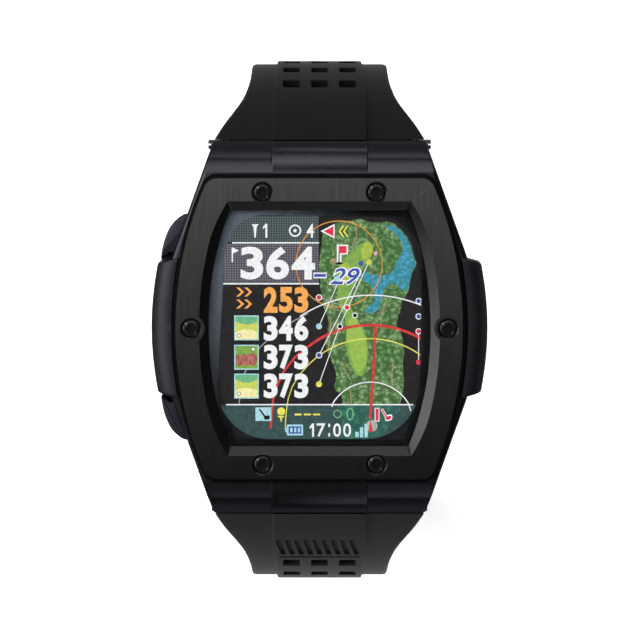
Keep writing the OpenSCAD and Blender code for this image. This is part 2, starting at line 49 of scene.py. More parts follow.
# ------------------------------------------------------------------ materials
def mk(name, c1, c2, rough=(0.3, 0.5), metallic=0.0, scale=900.0, stretch=(1, 1, 1), bump=0.15,
       bscale=4000.0, bstretch=None, bdist=0.00003, coat=0.0, coat_rough=0.2, spec=0.5, ramp=(0.35, 0.65),
       edge=None, detail=6.0, big=None, grad=None, tint=None):
    m = bpy.data.materials.new(name)
    m.use_nodes = True
    nt = m.node_tree
    n, l = nt.nodes, nt.links
    b = n["Principled BSDF"]
    tc = n.new("ShaderNodeTexCoord")
    mp = n.new("ShaderNodeMapping")
    mp.inputs["Scale"].default_value = stretch
    l.new(tc.outputs["Object"], mp.inputs["Vector"])
    nz = n.new("ShaderNodeTexNoise")
    nz.inputs["Scale"].default_value = scale
    nz.inputs["Detail"].default_value = detail
    nz.inputs["Roughness"].default_value = 0.65
    l.new(mp.outputs["Vector"], nz.inputs["Vector"])
    cr = n.new("ShaderNodeValToRGB")
    cr.color_ramp.elements[0].position = ramp[0]
    cr.color_ramp.elements[1].position = ramp[1]
    cr.color_ramp.elements[0].color = (*c1, 1)
    cr.color_ramp.elements[1].color = (*c2, 1)
    l.new(nz.outputs["Fac"], cr.inputs["Fac"])
    col = cr.outputs["Color"]
    if big:
        # slow colour change over the part
        nb = n.new("ShaderNodeTexNoise")
        nb.inputs["Scale"].default_value = big[0]
        nb.inputs["Detail"].default_value = 2.0
        l.new(tc.outputs["Object"], nb.inputs["Vector"])
        rb = n.new("ShaderNodeMapRange")
        rb.inputs["From Min"].default_value = 0.3
        rb.inputs["From Max"].default_value = 0.7
        rb.inputs["To Min"].default_value = 1.0 - big[1]
        rb.inputs["To Max"].default_value = 1.0 + big[1]
        l.new(nb.outputs["Fac"], rb.inputs["Value"])
        mx = n.new("ShaderNodeMix")
        mx.data_type = "RGBA"
        mx.blend_type = "MULTIPLY"
        mx.inputs[0].default_value = 1.0
        l.new(col, mx.inputs[6])
        l.new(rb.outputs["Result"], mx.inputs[7])
        col = mx.outputs[2]
    if edge:
        # painted highlight on convex edges: a lighter colour where the surface is pointy
        ge = n.new("ShaderNodeNewGeometry")
        re = n.new("ShaderNodeMapRange")
        re.inputs["From Min"].default_value = edge[0]
        re.inputs["From Max"].default_value = edge[1]
        re.inputs["To Min"].default_value = 0.0
        re.inputs["To Max"].default_value = edge[2]
        l.new(ge.outputs["Pointiness"], re.inputs["Value"])
        me_ = n.new("ShaderNodeMix")
        me_.data_type = "RGBA"
        l.new(re.outputs["Result"], me_.inputs[0])
        l.new(col, me_.inputs[6])
        me_.inputs[7].default_value = (*edge[3], 1)
        col = me_.outputs[2]
    if grad:
        # painted light along the part, a gradient that scales the colour to stand in for reflected light and shade:
        # (axis, from, to, stops)
        if grad[0] == "D":
            sg = n.new("ShaderNodeVectorMath")
            sg.operation = "DOT_PRODUCT"
            sg.inputs[1].default_value = (-0.8, 0.5, 0.0)
            l.new(tc.outputs["Object"], sg.inputs[0])
        else:
            sg = n.new("ShaderNodeSeparateXYZ")
            l.new(tc.outputs["Object"], sg.inputs["Vector"])
        rg = n.new("ShaderNodeMapRange")
        rg.inputs["From Min"].default_value = grad[1]
        rg.inputs["From Max"].default_value = grad[2]
        l.new(sg.outputs["Value" if grad[0] == "D" else grad[0]], rg.inputs["Value"])
        gr = n.new("ShaderNodeValToRGB")
        ge_ = gr.color_ramp.elements
        while len(ge_) < len(grad[3]):
            ge_.new(0.5)
        for e_, (pp, ff) in zip(ge_, grad[3]):
            e_.position = pp
            e_.color = (ff, ff, ff, 1)
        l.new(rg.outputs["Result"], gr.inputs["Fac"])
        mg = n.new("ShaderNodeMix")
        mg.data_type = "RGBA"
        mg.blend_type = "MULTIPLY"
        mg.inputs[0].default_value = 1.0
        l.new(col, mg.inputs[6])
        l.new(gr.outputs["Color"], mg.inputs[7])
        col = mg.outputs[2]
    if tint is not None:
        b.inputs["Specular Tint"].default_value = (tint, tint, tint, 1)
    l.new(col, b.inputs["Base Color"])
    mr = n.new("ShaderNodeMapRange")
    mr.inputs["From Min"].default_value = 0.3
    mr.inputs["From Max"].default_value = 0.7
    mr.inputs["To Min"].default_value = rough[0]
    mr.inputs["To Max"].default_value = rough[1]
    l.new(nz.outputs["Fac"], mr.inputs["Value"])
    l.new(mr.outputs["Result"], b.inputs["Roughness"])
    if bump > 0:
        mb = n.new("ShaderNodeMapping")
        mb.inputs["Scale"].default_value = bstretch or stretch
        l.new(tc.outputs["Object"], mb.inputs["Vector"])
        nb2 = n.new("ShaderNodeTexNoise")
        nb2.inputs["Scale"].default_value = bscale
        nb2.inputs["Detail"].default_value = 4.0
        l.new(mb.outputs["Vector"], nb2.inputs["Vector"])
        bp = n.new("ShaderNodeBump")
        bp.inputs["Strength"].default_value = bump
        bp.inputs["Distance"].default_value = bdist
        l.new(nb2.outputs["Fac"], bp.inputs["Height"])
        l.new(bp.outputs["Normal"], b.inputs["Normal"])
    b.inputs["Metallic"].default_value = metallic
    b.inputs["Coat Weight"].default_value = coat
    b.inputs["Coat Roughness"].default_value = coat_rough
    b.inputs["Specular IOR Level"].default_value = spec
    return m


def mk_glow(name, c1, c2, strength=1.0, scale=2500.0, ramp=(0.4, 0.6), vor=None, base=0.004, c3=None, stretch=(1, 1, 1)):
    """A lit screen area: emission with a fine procedural pattern."""
    m = bpy.data.materials.new(name)
    m.use_nodes = True
    n, l = m.node_tree.nodes, m.node_tree.links
    b = n["Principled BSDF"]
    tc = n.new("ShaderNodeTexCoord")
    mp = n.new("ShaderNodeMapping")
    mp.inputs["Scale"].default_value = stretch
    l.new(tc.outputs["Object"], mp.inputs["Vector"])
    nz = n.new("ShaderNodeTexNoise")
    nz.inputs["Scale"].default_value = scale
    nz.inputs["Detail"].default_value = 5.0
    nz.inputs["Roughness"].default_value = 0.7
    l.new(mp.outputs["Vector"], nz.inputs["Vector"])
    fac = nz.outputs["Fac"]
    if vor:
        vo = n.new("ShaderNodeTexVoronoi")
        vo.inputs["Scale"].default_value = vor
        l.new(mp.outputs["Vector"], vo.inputs["Vector"])
        ma = n.new("ShaderNodeMath")
        ma.operation = "MULTIPLY_ADD"
        ma.inputs[1].default_value = -0.55
        l.new(vo.outputs["Distance"], ma.inputs[0])
        l.new(nz.outputs["Fac"], ma.inputs[2])
        ad = n.new("ShaderNodeMath")
        ad.operation = "ADD"
        ad.inputs[1].default_value = 0.22
        l.new(ma.outputs["Value"], ad.inputs[0])
        fac = ad.outputs["Value"]
    cr = n.new("ShaderNodeValToRGB")
    e = cr.color_ramp.elements
    e[0].position, e[1].position = ramp
    e[0].color, e[1].color = (*c1, 1), (*c2, 1)
    if c3:
        k = e.new(min(0.98, ramp[1] + 0.13))
        k.color = (*c3, 1)
    l.new(fac, cr.inputs["Fac"])
    l.new(cr.outputs["Color"], b.inputs["Emission Color"])
    b.inputs["Emission Strength"].default_value = strength
    b.inputs["Base Color"].default_value = (base, base, base, 1)
    b.inputs["Roughness"].default_value = 0.5
    b.inputs["Specular IOR Level"].default_value = 0.02
    return m


def mk_dots(name, dark, light, pitch=0.00036, strength=1.0):
    """Screen panel with a fine square dot raster."""
    m = bpy.data.materials.new(name)
    m.use_nodes = True
    n, l = m.node_tree.nodes, m.node_tree.links
    b = n["Principled BSDF"]
    tc = n.new("ShaderNodeTexCoord")
    sp = n.new("ShaderNodeSeparateXYZ")
    l.new(tc.outputs["Object"], sp.inputs["Vector"])
    outs = []
    for ax in ("X", "Y"):
        a = n.new("ShaderNodeMath"); a.operation = "MULTIPLY"; a.inputs[1].default_value = 2 * math.pi / pitch
        l.new(sp.outputs[ax], a.inputs[0])
        s = n.new("ShaderNodeMath"); s.operation = "SINE"
        l.new(a.outputs["Value"], s.inputs[0])
        outs.append(s)
    p = n.new("ShaderNodeMath"); p.operation = "ADD"
    l.new(outs[0].outputs["Value"], p.inputs[0]); l.new(outs[1].outputs["Value"], p.inputs[1])
    cr = n.new("ShaderNodeValToRGB")
    cr.color_ramp.elements[0].position = 0.35
    cr.color_ramp.elements[1].position = 0.8
    cr.color_ramp.elements[0].color = (*dark, 1)
    cr.color_ramp.elements[1].color = (*light, 1)
    mr = n.new("ShaderNodeMapRange")
    mr.inputs["From Min"].default_value = -2.0
    mr.inputs["From Max"].default_value = 2.0
    l.new(p.outputs["Value"], mr.inputs["Value"])
    l.new(mr.outputs["Result"], cr.inputs["Fac"])
    l.new(cr.outputs["Color"], b.inputs["Emission Color"])
    b.inputs["Emission Strength"].default_value = strength
    b.inputs["Base Color"].default_value = (0.004, 0.004, 0.004, 1)
    b.inputs["Roughness"].default_value = 0.5
    b.inputs["Specular IOR Level"].default_value = 0.02
    return m


def lin(r, g, b):
    f = lambda c: (c / 255 / 12.92) if c <= 10 else ((c / 255 + 0.055) / 1.055) ** 2.4
    return (f(r), f(g), f(b))


M = {}
M["case"] = mk("case_black", (0.0135, 0.0135, 0.0156), (0.0185, 0.0185, 0.0212), (0.27, 0.34), 1.0, 2600, bump=0.06,
               bscale=12000, bdist=0.000006, big=(60, 0.08), edge=(0.53, 0.63, 0.25, (0.07, 0.07, 0.08)), tint=0.42)
# brushed bezel; its Y gradient darkens the face towards the bottom as a painted reflection of the light from above
M["bezel"] = mk("bezel_brushed_painted_reflection", (0.036, 0.0346, 0.0336), (0.055, 0.0532, 0.0515), (0.38, 0.50), 1.0, 1.0,
                stretch=(8200, 190, 400), bump=0.16, bscale=1.0, bstretch=(13000, 200, 500), bdist=0.000006,
                ramp=(0.28, 0.74), edge=(0.53, 0.64, 0.25, (0.12, 0.12, 0.12)), tint=0.4,
                grad=("Y", -0.0218, 0.0218, [(0.0, 0.20), (0.33, 0.38), (0.63, 0.62), (1.0, 1.0)]))
M["bevel"] = mk("bezel_bevel_satin", (0.0195, 0.019, 0.0193), (0.0265, 0.026, 0.0262), (0.30, 0.40), 1.0, 2200, bump=0.06,
                bscale=9000, bdist=0.000006, tint=0.5)
M["skirt"] = mk("bezel_skirt_satin", (0.008, 0.008, 0.009), (0.012, 0.012, 0.013), (0.45, 0.57), 1.0, 2200, bump=0.06,
                bscale=9000, bdist=0.000006, tint=0.3)
M["screw"] = mk("screw_black", (0.0066, 0.0066, 0.0072), (0.0132, 0.0132, 0.0143), (0.24, 0.34), 0.8, 3000, bump=0.08,
                bscale=9000, bdist=0.000006, edge=(0.53, 0.62, 0.5, (0.14, 0.14, 0.15)), tint=0.5)
M["guard"] = mk("guard_black", (0.0165, 0.0165, 0.0190), (0.0225, 0.0225, 0.0260), (0.46, 0.56), 1.0, 2600, bump=0.06,
                bscale=12000, bdist=0.000006, big=(70, 0.08), edge=(0.53, 0.63, 0.25, (0.08, 0.08, 0.09)), tint=0.42)
M["button"] = mk("button_black", (0.0160, 0.0165, 0.0210), (0.0230, 0.0235, 0.0300), (0.42, 0.52), 1.0, 2600, bump=0.06,
                 bscale=12000, bdist=0.000006, edge=(0.53, 0.63, 0.3, (0.09, 0.09, 0.10)), tint=0.3)
M["rubber"] = mk("strap_rubber", (0.0036, 0.0036, 0.0040), (0.0060, 0.0060, 0.0066), (0.60, 0.74), 0.0, 2600, bump=0.25,
                 bscale=9000, bdist=0.00001, spec=0.20, big=(45, 0.15))
# darker copy of the strap rubber for the upper strap: painted shade, the same rubber as the lower strap
M["rubber_up"] = mk("strap_rubber_upper_painted_shade", (0.0020, 0.0020, 0.0023), (0.0034, 0.0034, 0.0038), (0.62, 0.76), 0.0, 2600, bump=0.25,
                    bscale=9000, bdist=0.00001, spec=0.07, big=(45, 0.15))
M["back"] = mk("back_steel", (0.10, 0.10, 0.105), (0.16, 0.16, 0.165), (0.34, 0.5), 0.85, 1.0,
               stretch=(260, 4200, 400), bump=0.15, bscale=1.0, bstretch=(220, 7000, 500), bdist=0.000008)
M["steel"] = mk("bare_steel", (0.42, 0.42, 0.43), (0.60, 0.60, 0.61), (0.22, 0.38), 1.0, 2500, bump=0.10,
                bscale=6000, bdist=0.00001)
M["buckle"] = mk("buckle_black", (0.020, 0.020, 0.022), (0.038, 0.038, 0.040), (0.28, 0.4), 0.7, 1.0,
                 stretch=(150, 3800, 3800), bump=0.15, bscale=1.0, bstretch=(150, 6000, 6000), bdist=0.000008,
                 edge=(0.52, 0.62, 0.4, (0.14, 0.14, 0.145)))
M["gold"] = mk("gold_contact", (0.75, 0.50, 0.16), (0.86, 0.62, 0.24), (0.2, 0.34), 1.0, 3000, bump=0.08, bscale=7000)
M["seal"] = mk("seal_rubber", (0.01, 0.01, 0.01), (0.018, 0.018, 0.018), (0.6, 0.75), 0.0, 3000, bump=0.2, bscale=6000)
# border print colour with a painted highlight: the D gradient brightens it towards the upper left, where the crystal
# edge catches light
M["mask"] = mk("mask_print_painted_highlight", (0.066, 0.078, 0.098), (0.088, 0.102, 0.124), (0.45, 0.60), 0.0, 2000, bump=0.0, spec=0.05,
               grad=("D", 0.0, 0.016, [(0.2, 0.04), (0.46, 0.26), (0.72, 0.62), (1.0, 1.0)]))
M["flex"] = mk("flex_amber", (0.42, 0.20, 0.03), (0.60, 0.30, 0.06), (0.35, 0.5), 0.0, 2500, bump=0.1)
M["plastic"] = mk("inner_plastic", (0.06, 0.06, 0.065), (0.09, 0.09, 0.095), (0.45, 0.6), 0.0, 2500, bump=0.2)
M["pcb"] = mk("pcb_green", (0.012, 0.09, 0.03), (0.03, 0.17, 0.06), (0.3, 0.45), 0.0, 1800, bump=0.2, coat=0.3)
M["chip"] = mk("chip_black", (0.015, 0.015, 0.016), (0.03, 0.03, 0.03), (0.4, 0.55), 0.0, 4000, bump=0.1)
M["ceramic"] = mk("ceramic", (0.50, 0.46, 0.36), (0.66, 0.61, 0.5), (0.4, 0.55), 0.0, 3000, bump=0.1)
M["foil"] = mk("battery_foil", (0.55, 0.55, 0.57), (0.72, 0.72, 0.74), (0.25, 0.4), 0.9, 900, bump=0.3, bscale=1500)
M["lead"] = mk("lead_red", (0.35, 0.02, 0.015), (0.55, 0.04, 0.03), (0.35, 0.5), 0.0, 2500, bump=0.1)
g = bpy.data.materials.new("crystal_glass")
g.use_nodes = True
gb = g.node_tree.nodes["Principled BSDF"]
gb.inputs["Base Color"].default_value = (1, 1, 1, 1)
gb.inputs["Transmission Weight"].default_value = 1.0
gb.inputs["IOR"].default_value = 1.012
gb.inputs["Coat Weight"].default_value = 0.5
gb.inputs["Coat IOR"].default_value = 1.5
gb.inputs["Coat Roughness"].default_value = 0.12
_tc = g.node_tree.nodes.new("ShaderNodeTexCoord")
_nz = g.node_tree.nodes.new("ShaderNodeTexNoise")
_nz.inputs["Scale"].default_value = 300.0
_mr = g.node_tree.nodes.new("ShaderNodeMapRange")
_mr.inputs["To Min"].default_value = 0.0
_mr.inputs["To Max"].default_value = 0.01
g.node_tree.links.new(_tc.outputs["Object"], _nz.inputs["Vector"])
g.node_tree.links.new(_nz.outputs["Fac"], _mr.inputs["Value"])
g.node_tree.links.new(_mr.outputs["Result"], gb.inputs["Roughness"])
M["glass"] = g
g2 = g.copy()
g2.name = "crystal_glass_inner"
g2.node_tree.nodes["Principled BSDF"].inputs["Coat Weight"].default_value = 0.0
M["glass_in"] = g2


# ------------------------------------------------------------------ mesh helpers (millimetres in, metres out)
def obj_from(name, verts, faces, mat=None, smooth=35):
    me = bpy.data.meshes.new(name)
    me.from_pydata([tuple(c * MM for c in v) for v in verts], [], faces)
    me.validate()
    bm = bmesh.new()
    bm.from_mesh(me)
    bmesh.ops.recalc_face_normals(bm, faces=bm.faces)
    bm.to_mesh(me)
    bm.free()
    o = bpy.data.objects.new(name, me)
    sc.collection.objects.link(o)
    if mat:
        me.materials.append(mat)
    shade(o, smooth)
    return o


def shade(o, angle=35):
    me = o.data
    for p in me.polygons:
        p.use_smooth = True
    me.set_sharp_from_angle(angle=math.radians(angle))


def loft(name, rings, mat=None, closed=True, cap=True, loop=False, smooth=35):
    """Join rings of equal length. closed: each ring is a loop. loop: last ring joins the first."""
    n = len(rings[0])
    verts = [p for r in rings for p in r]
    faces = []
    m = len(rings)
    for i in range(m if loop else m - 1):
        a, b = i * n, ((i + 1) % m) * n
        for j in range(n if closed else n - 1):
            k = (j + 1) % n
            faces.append((a + j, a + k, b + k, b + j))
    if cap and not loop:
        faces.append(tuple(range(n - 1, -1, -1)))
        faces.append(tuple((m - 1) * n + j for j in range(n)))
    return obj_from(name, verts, faces, mat, smooth)


def apply_mods(o):
    dg = bpy.context.evaluated_depsgraph_get()
    dg.update()
    me = bpy.data.meshes.new_from_object(o.evaluated_get(dg))
    old = o.data
    o.modifiers.clear()
    o.data = me
    bpy.data.meshes.remove(old)


def volume(o):
    bm = bmesh.new()
    bm.from_mesh(o.data)
    v = bm.calc_volume(signed=True)
    bm.free()
    return v


def boolean(o, cutter, op="DIFFERENCE"):
    """Boolean with a volume check, so a failed solve never drops the part."""
    for ob in (o, cutter):
        if volume(ob) < 0:
            ob.data.flip_normals()
    v0 = volume(o)
    keep = o.data
    mats = [m for m in keep.materials if m]
    done = False
    for solver in ("MANIFOLD", "EXACT"):
        o.data = keep.copy()
        md = o.modifiers.new("b", "BOOLEAN")
        md.operation = op
        md.solver = solver
        md.object = cutter
        bpy.context.view_layer.update()
        apply_mods(o)
        v = volume(o)
        if (op == "UNION" and v >= v0 * 0.9999) or (op == "DIFFERENCE" and v0 * 0.3 < v <= v0 * 1.0001):
            done = True
            break
        bad = o.data
        o.data = keep
        bpy.data.meshes.remove(bad)
    if done:
        bpy.data.meshes.remove(keep)
        o.data.materials.clear()
        for m in mats:
            o.data.materials.append(m)
        for p in o.data.polygons:
            p.material_index = 0
    else:
        print("BOOLEAN SKIPPED", o.name, cutter.name, op)
    me = cutter.data
    bpy.data.objects.remove(cutter)
    bpy.data.meshes.remove(me)
    return o


def clean(o, dist=0.002):
    bm = bmesh.new()
    bm.from_mesh(o.data)
    bmesh.ops.remove_doubles(bm, verts=bm.verts, dist=dist * MM)
    bmesh.ops.dissolve_degenerate(bm, edges=bm.edges, dist=0.0005 * MM)
    bm.to_mesh(o.data)
    bm.free()


def bevel(o, w, segs=2, angle=35, smooth=35):
    md = o.modifiers.new("bv", "BEVEL")
    md.width = w * MM
    md.segments = segs
    md.limit_method = "ANGLE"
    md.angle_limit = math.radians(angle)
    md.use_clamp_overlap = True
    md.miter_outer = "MITER_ARC"
    apply_mods(o)
    shade(o, smooth)
    return o


def join(objs, name):
    verts, faces, off, mats = [], [], 0, []
    base = objs[0]
    bm = bmesh.new()
    for o in objs:
        bm.from_mesh(o.data)
    me = bpy.data.meshes.new(name)
    bm.to_mesh(me)
    bm.free()
    out = bpy.data.objects.new(name, me)
    sc.collection.objects.link(out)
    for m in base.data.materials:
        me.materials.append(m)
    for o in objs:
        d = o.data
        bpy.data.objects.remove(o)
        bpy.data.meshes.remove(d)
    return out


def bx(x0, x1, y0, y1, z0, z1, name="box", r=0.0):
    if r <= 0:
        v = [(x, y, z) for z in (z0, z1) for y in (y0, y1) for x in (x0, x1)]
        f = [(0, 1, 3, 2), (4, 6, 7, 5), (0, 4, 5, 1), (1, 5, 7, 3), (3, 7, 6, 2), (2, 6, 4, 0)]
        return obj_from(name, v, f)
    pts = rrect((x0 + x1) / 2, (y0 + y1) / 2, (x1 - x0) / 2, (y1 - y0) / 2, r)
    return loft(name, [[(x, y, z0) for x, y in pts], [(x, y, z1) for x, y in pts]])


def rrect(cx, cy, hx, hy, r, n=5):
    out = []
    for sx, sy, a0 in ((1, 1, 0), (-1, 1, 90), (-1, -1, 180), (1, -1, 270)):
        for i in range(n + 1):
            a = math.radians(a0 + 90 * i / n)
            out.append((cx + sx * (hx - r) + r * math.cos(a), cy + sy * (hy - r) + r * math.sin(a)))
    return out


def lathe(name, prof, at=(0, 0, 0), axis="Z", n=48, mat=None, smooth=35):
    """prof: (r, h) pairs from axis to axis."""
    rings = []
    for i in range(n):
        a = 2 * math.pi * i / n
        ring = []
        for r, h in prof:
            x, y, z = r * math.cos(a), r * math.sin(a), h
            if axis == "X":
                x, y, z = h, r * math.cos(a), r * math.sin(a)
            elif axis == "Y":
                x, y, z = r * math.sin(a), h, r * math.cos(a)
            ring.append((at[0] + x, at[1] + y, at[2] + z))
        rings.append(ring)
    o = loft(name, rings, mat, closed=False, cap=False, loop=True, smooth=smooth)
    bm = bmesh.new()
    bm.from_mesh(o.data)
    bmesh.ops.remove_doubles(bm, verts=bm.verts, dist=1e-7)
    bmesh.ops.recalc_face_normals(bm, faces=bm.faces)
    bm.to_mesh(o.data)
    bm.free()
    shade(o, smooth)
    return o


def hermite(pts, n):
    """Smooth curve through 2-D points (Catmull-Rom, centripetal-like), n steps per span."""
    P = [np.array(p, float) for p in pts]
    P = [2 * P[0] - P[1]] + P + [2 * P[-1] - P[-2]]
    out = []
    for i in range(1, len(P) - 2):
        for k in range(n):
            t = k / n
            a, b, c, d = P[i - 1], P[i], P[i + 1], P[i + 2]
            out.append(0.5 * ((2 * b) + (c - a) * t + (2 * a - 5 * b + 4 * c - d) * t * t + (-a + 3 * b - 3 * c + d) * t ** 3))
    out.append(P[-2])
    return [tuple(p) for p in out]


def interp_even(f):
    """Half-width as an even, smooth function of |Y| through (Y, half-width) pairs."""
    ys = [p[0] for p in f]
    ws = [p[1] for p in f]
    Y = [-ys[1]] + ys
    W = [ws[1]] + ws
    def g(y):
        y = abs(y)
        i = max(1, min(len(Y) - 2, int(np.searchsorted(Y, y)) - 1))
        y0, y1 = Y[i], Y[i + 1]
        t = (y - y0) / (y1 - y0)
        m0 = (W[i + 1] - W[i - 1]) / (Y[i + 1] - Y[i - 1])
        m1 = (W[i + 2] - W[i]) / (Y[i + 2] - Y[i]) if i + 2 < len(Y) else (W[i + 1] - W[i]) / (y1 - y0)
        h = y1 - y0
        t2, t3 = t * t, t ** 3
        return (2 * t3 - 3 * t2 + 1) * W[i] + (t3 - 2 * t2 + t) * h * m0 + (-2 * t3 + 3 * t2) * W[i + 1] + (t3 - t2) * h * m1
    return g


def barrel(w_of_y, hl, r, ns=26, nc=8, ne=18, d=0.0):
    """Closed outline of a barrel: half-width w_of_y(y), straight ends at +-hl, corner radius r, inset d."""
    q = []
    h = 1e-3
    # corner fillet: circle of radius r tangent to the end line and the side curve
    fy = hl - r
    sl = (w_of_y(fy + h) - w_of_y(fy - h)) / (2 * h)          # dx/dy, negative
    a = math.atan(-sl)
    yt = fy + r * math.sin(a)                                  # tangent point on the side
    for _ in range(8):
        sl = (w_of_y(yt + h) - w_of_y(yt - h)) / (2 * h)
        a = math.atan(-sl)
        yt = fy + r * math.sin(a)
    fx = w_of_y(yt) - r * math.cos(a)
    for i in range(ns):
        y = yt * (i + 0.5) / ns
        sl = (w_of_y(y + h) - w_of_y(y - h)) / (2 * h)
        nrm = np.array([1.0, -sl]) / math.hypot(1, sl)
        q.append((w_of_y(y) - nrm[0] * d, y - nrm[1] * d))
    rr = max(r - d, 0.02)
    for i in range(nc + 1):
        t = a + (math.pi / 2 - a) * i / nc
        q.append((fx + rr * math.cos(t), fy + rr * math.sin(t)))
    for i in range(1, ne + 1):
        q.append((fx * (1 - i / (ne + 0.5)), hl - d))
    k = len(q)
    return q + [(-x, y) for x, y in reversed(q)] + [(-x, -y) for x, y in q] + [(x, -y) for x, y in reversed(q)]


def ringz(pts, z):
    return [(x, y, z) for x, y in pts]


def bezp(p, t):
    return tuple((1 - t) ** 3 * a + 3 * t * (1 - t) ** 2 * b + 3 * t * t * (1 - t) * c + t ** 3 * d for a, b, c, d in zip(*p))


def along_x(name, poly, x0, x1):
    """Prism along X of a (y, z) polygon."""
    return loft(name, [[(x0, y, z) for y, z in poly], [(x1, y, z) for y, z in poly]])


def xcyl(r, x0, x1, y, z, n=48, name="cyl"):
    ring = lambda x: [(x, y + r * math.cos(2 * math.pi * i / n), z + r * math.sin(2 * math.pi * i / n)) for i in range(n)]
    return loft(name, [ring(x0), ring(x1)])


def zcyl(r, x, y, z0, z1, n=48, name="cyl"):
    ring = lambda z: [(x + r * math.cos(2 * math.pi * i / n), y + r * math.sin(2 * math.pi * i / n), z) for i in range(n)]
    return loft(name, [ring(z0), ring(z1)])


def mirror_y(o, name):
    me = o.data.copy()
    n = bpy.data.objects.new(name, me)
    sc.collection.objects.link(n)
    me.transform(Matrix.Scale(-1, 4, Vector((0, 1, 0))))
    me.flip_normals()
    return n


def mirror_x(o, name):
    me = o.data.copy()
    n = bpy.data.objects.new(name, me)
    sc.collection.objects.link(n)
    me.transform(Matrix.Scale(-1, 4, Vector((1, 0, 0))))
    me.flip_normals()
    return n


def put(o, body, slot, *nodes):
    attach(o, body)
    if nodes:
        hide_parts(*nodes)
    return o


EY, EZ = 26.35, 5.4
TOP = 11.0
BT = 13.4
ANG = math.radians(19.8)
R_W = 11.4 / math.sin(ANG)
XA = 22.9 - R_W * (1 - math.cos(ANG))


def case_w(y):
    y = abs(y)
    if y <= 11.4:
        return 22.9 - R_W + math.sqrt(R_W ** 2 - y * y)
    return XA - (y - 11.4) * math.tan(ANG)


def arc_w(hw, R):
    return lambda y: hw - R + math.sqrt(R * R - y * y)


# ------------------------------------------------------------------ case middle
wing = [(27.0, 8.3), (26.72, 8.62), (26.3, 9.05), (25.8, 9.5), (25.3, 9.9), (24.85, 10.2), (24.55, 10.38), (24.35, 10.47),
        (24.1, 10.56), (23.7, 10.68), (23.2, 10.81), (22.75, 10.92), (22.45, 11.0)]
cr = []
cr.append((21.75, 1.2, 0.45)); cr.append((21.9, 1.32, 0.2)); cr.append((22.3, 1.6, 0.05))
cr.append((23.6, 2.3, 0.0)); cr.append((25.1, 3.1, 0.0)); cr.append((26.1, 4.0, 0.0)); cr.append((26.7, 4.9, 0.0)); cr.append((26.95, 5.8, 0.0))
cr.append((27.0, 6.8, 0.0)); cr.append((27.0, 7.9, 0.0))
for y, z in wing:
    d = 0.0
    if z > 10.3:
        u = min(1.0, (z - 10.3) / 0.7)
        d = 0.62 * (1 - math.sqrt(max(0.0, 1 - u * u)))
    cr.append((y, z, d))
rings = [ringz(barrel(case_w, yl, 0.45, d=0.0) if d == 0 else barrel(lambda y, d=d: case_w(y) - d / math.cos(math.atan(0.2)), yl, 0.45), z) for yl, z, d in cr]
case = loft("case_shell", rings, M["case"], smooth=24)
# raised centre rib on both ends
rib = [(27.0, 9.1), (26.75, 9.4), (26.4, 9.75), (26.0, 10.08), (25.7, 10.28), (25.45, 10.42), (25.2, 10.53), (24.8, 10.66), (24.3, 10.8), (23.7, 10.93), (23.0, 10.99)]
for s in (1, -1):
    rr = []
    for x, dz in ((-7.0, 0.55), (-6.97, 0.3), (-6.93, 0.12), (-6.85, 0.03), (-6.7, 0.0), (0, 0.0), (6.7, 0.0), (6.85, 0.03), (6.93, 0.12), (6.97, 0.3), (7.0, 0.55)):
        rr.append([(x, s * y, z - dz * min(1.0, (y - 22.2) / 1.6)) for y, z in rib] + [(x, s * 22.3, 10.996), (x, s * 22.0, 10.9), (x, s * 22.0, 7.0), (x, s * 27.0, 7.0)])
    boolean(case, loft("rib", rr), "UNION")
for s in (1, -1):
    for q in (1, -1):
        boolean(case, xcyl(2.3, *sorted((q * 6.9, q * 13.2)), s * EY, EZ, name="ear"), "UNION")
    boolean(case, xcyl(2.6, -6.85, 6.85, s * EY, EZ), "DIFFERENCE")
    boolean(case, bx(-6.85, 6.85, *sorted((s * (EY - 2.6), s * (EY + 6))), 0, EZ), "DIFFERENCE")
    boolean(case, bx(-6.85, 6.85, *sorted((s * (EY + 0.72), s * (EY + 5))), 0, 7.4), "DIFFERENCE")
    boolean(case, xcyl(0.95, -18, 18, s * EY, EZ, n=32), "DIFFERENCE")
boolean(case, loft("cav", [ringz(barrel(arc_w(16.9, 52), 17.9, 3), 0.5), ringz(barrel(arc_w(16.9, 52), 17.9, 3), 20)]), "DIFFERENCE")


def button_xf(s):
    """Local (outward, along, up) -> world, for the button on side s of the 9 o'clock flank."""
    cx, cy, cz = -20.36, 12.9, 6.8
    n = (-math.cos(ANG), math.sin(ANG))
    t = (-math.sin(ANG), -math.cos(ANG))
    return lambda a, b, c: (cx + n[0] * a + t[0] * b, s * (cy + n[1] * a + t[1] * b), cz + c)


for s in (1, -1):
    f = button_xf(s)
    pts = rrect(0, -0.425, 1.8, 3.325, 0.5)
    pts = [(p[1], p[0]) for p in rrect(0, 0, 2.65, 3.325, 0.35)]
    pk = loft("pocket", [[f(a, -0.425 + b, c) for b, c in pts] for a in (-1.8, 2.5)])
    boolean(case, pk, "DIFFERENCE")
clean(case)
shade(case, 24)
put(case, "case", "case_black", "case_middle")

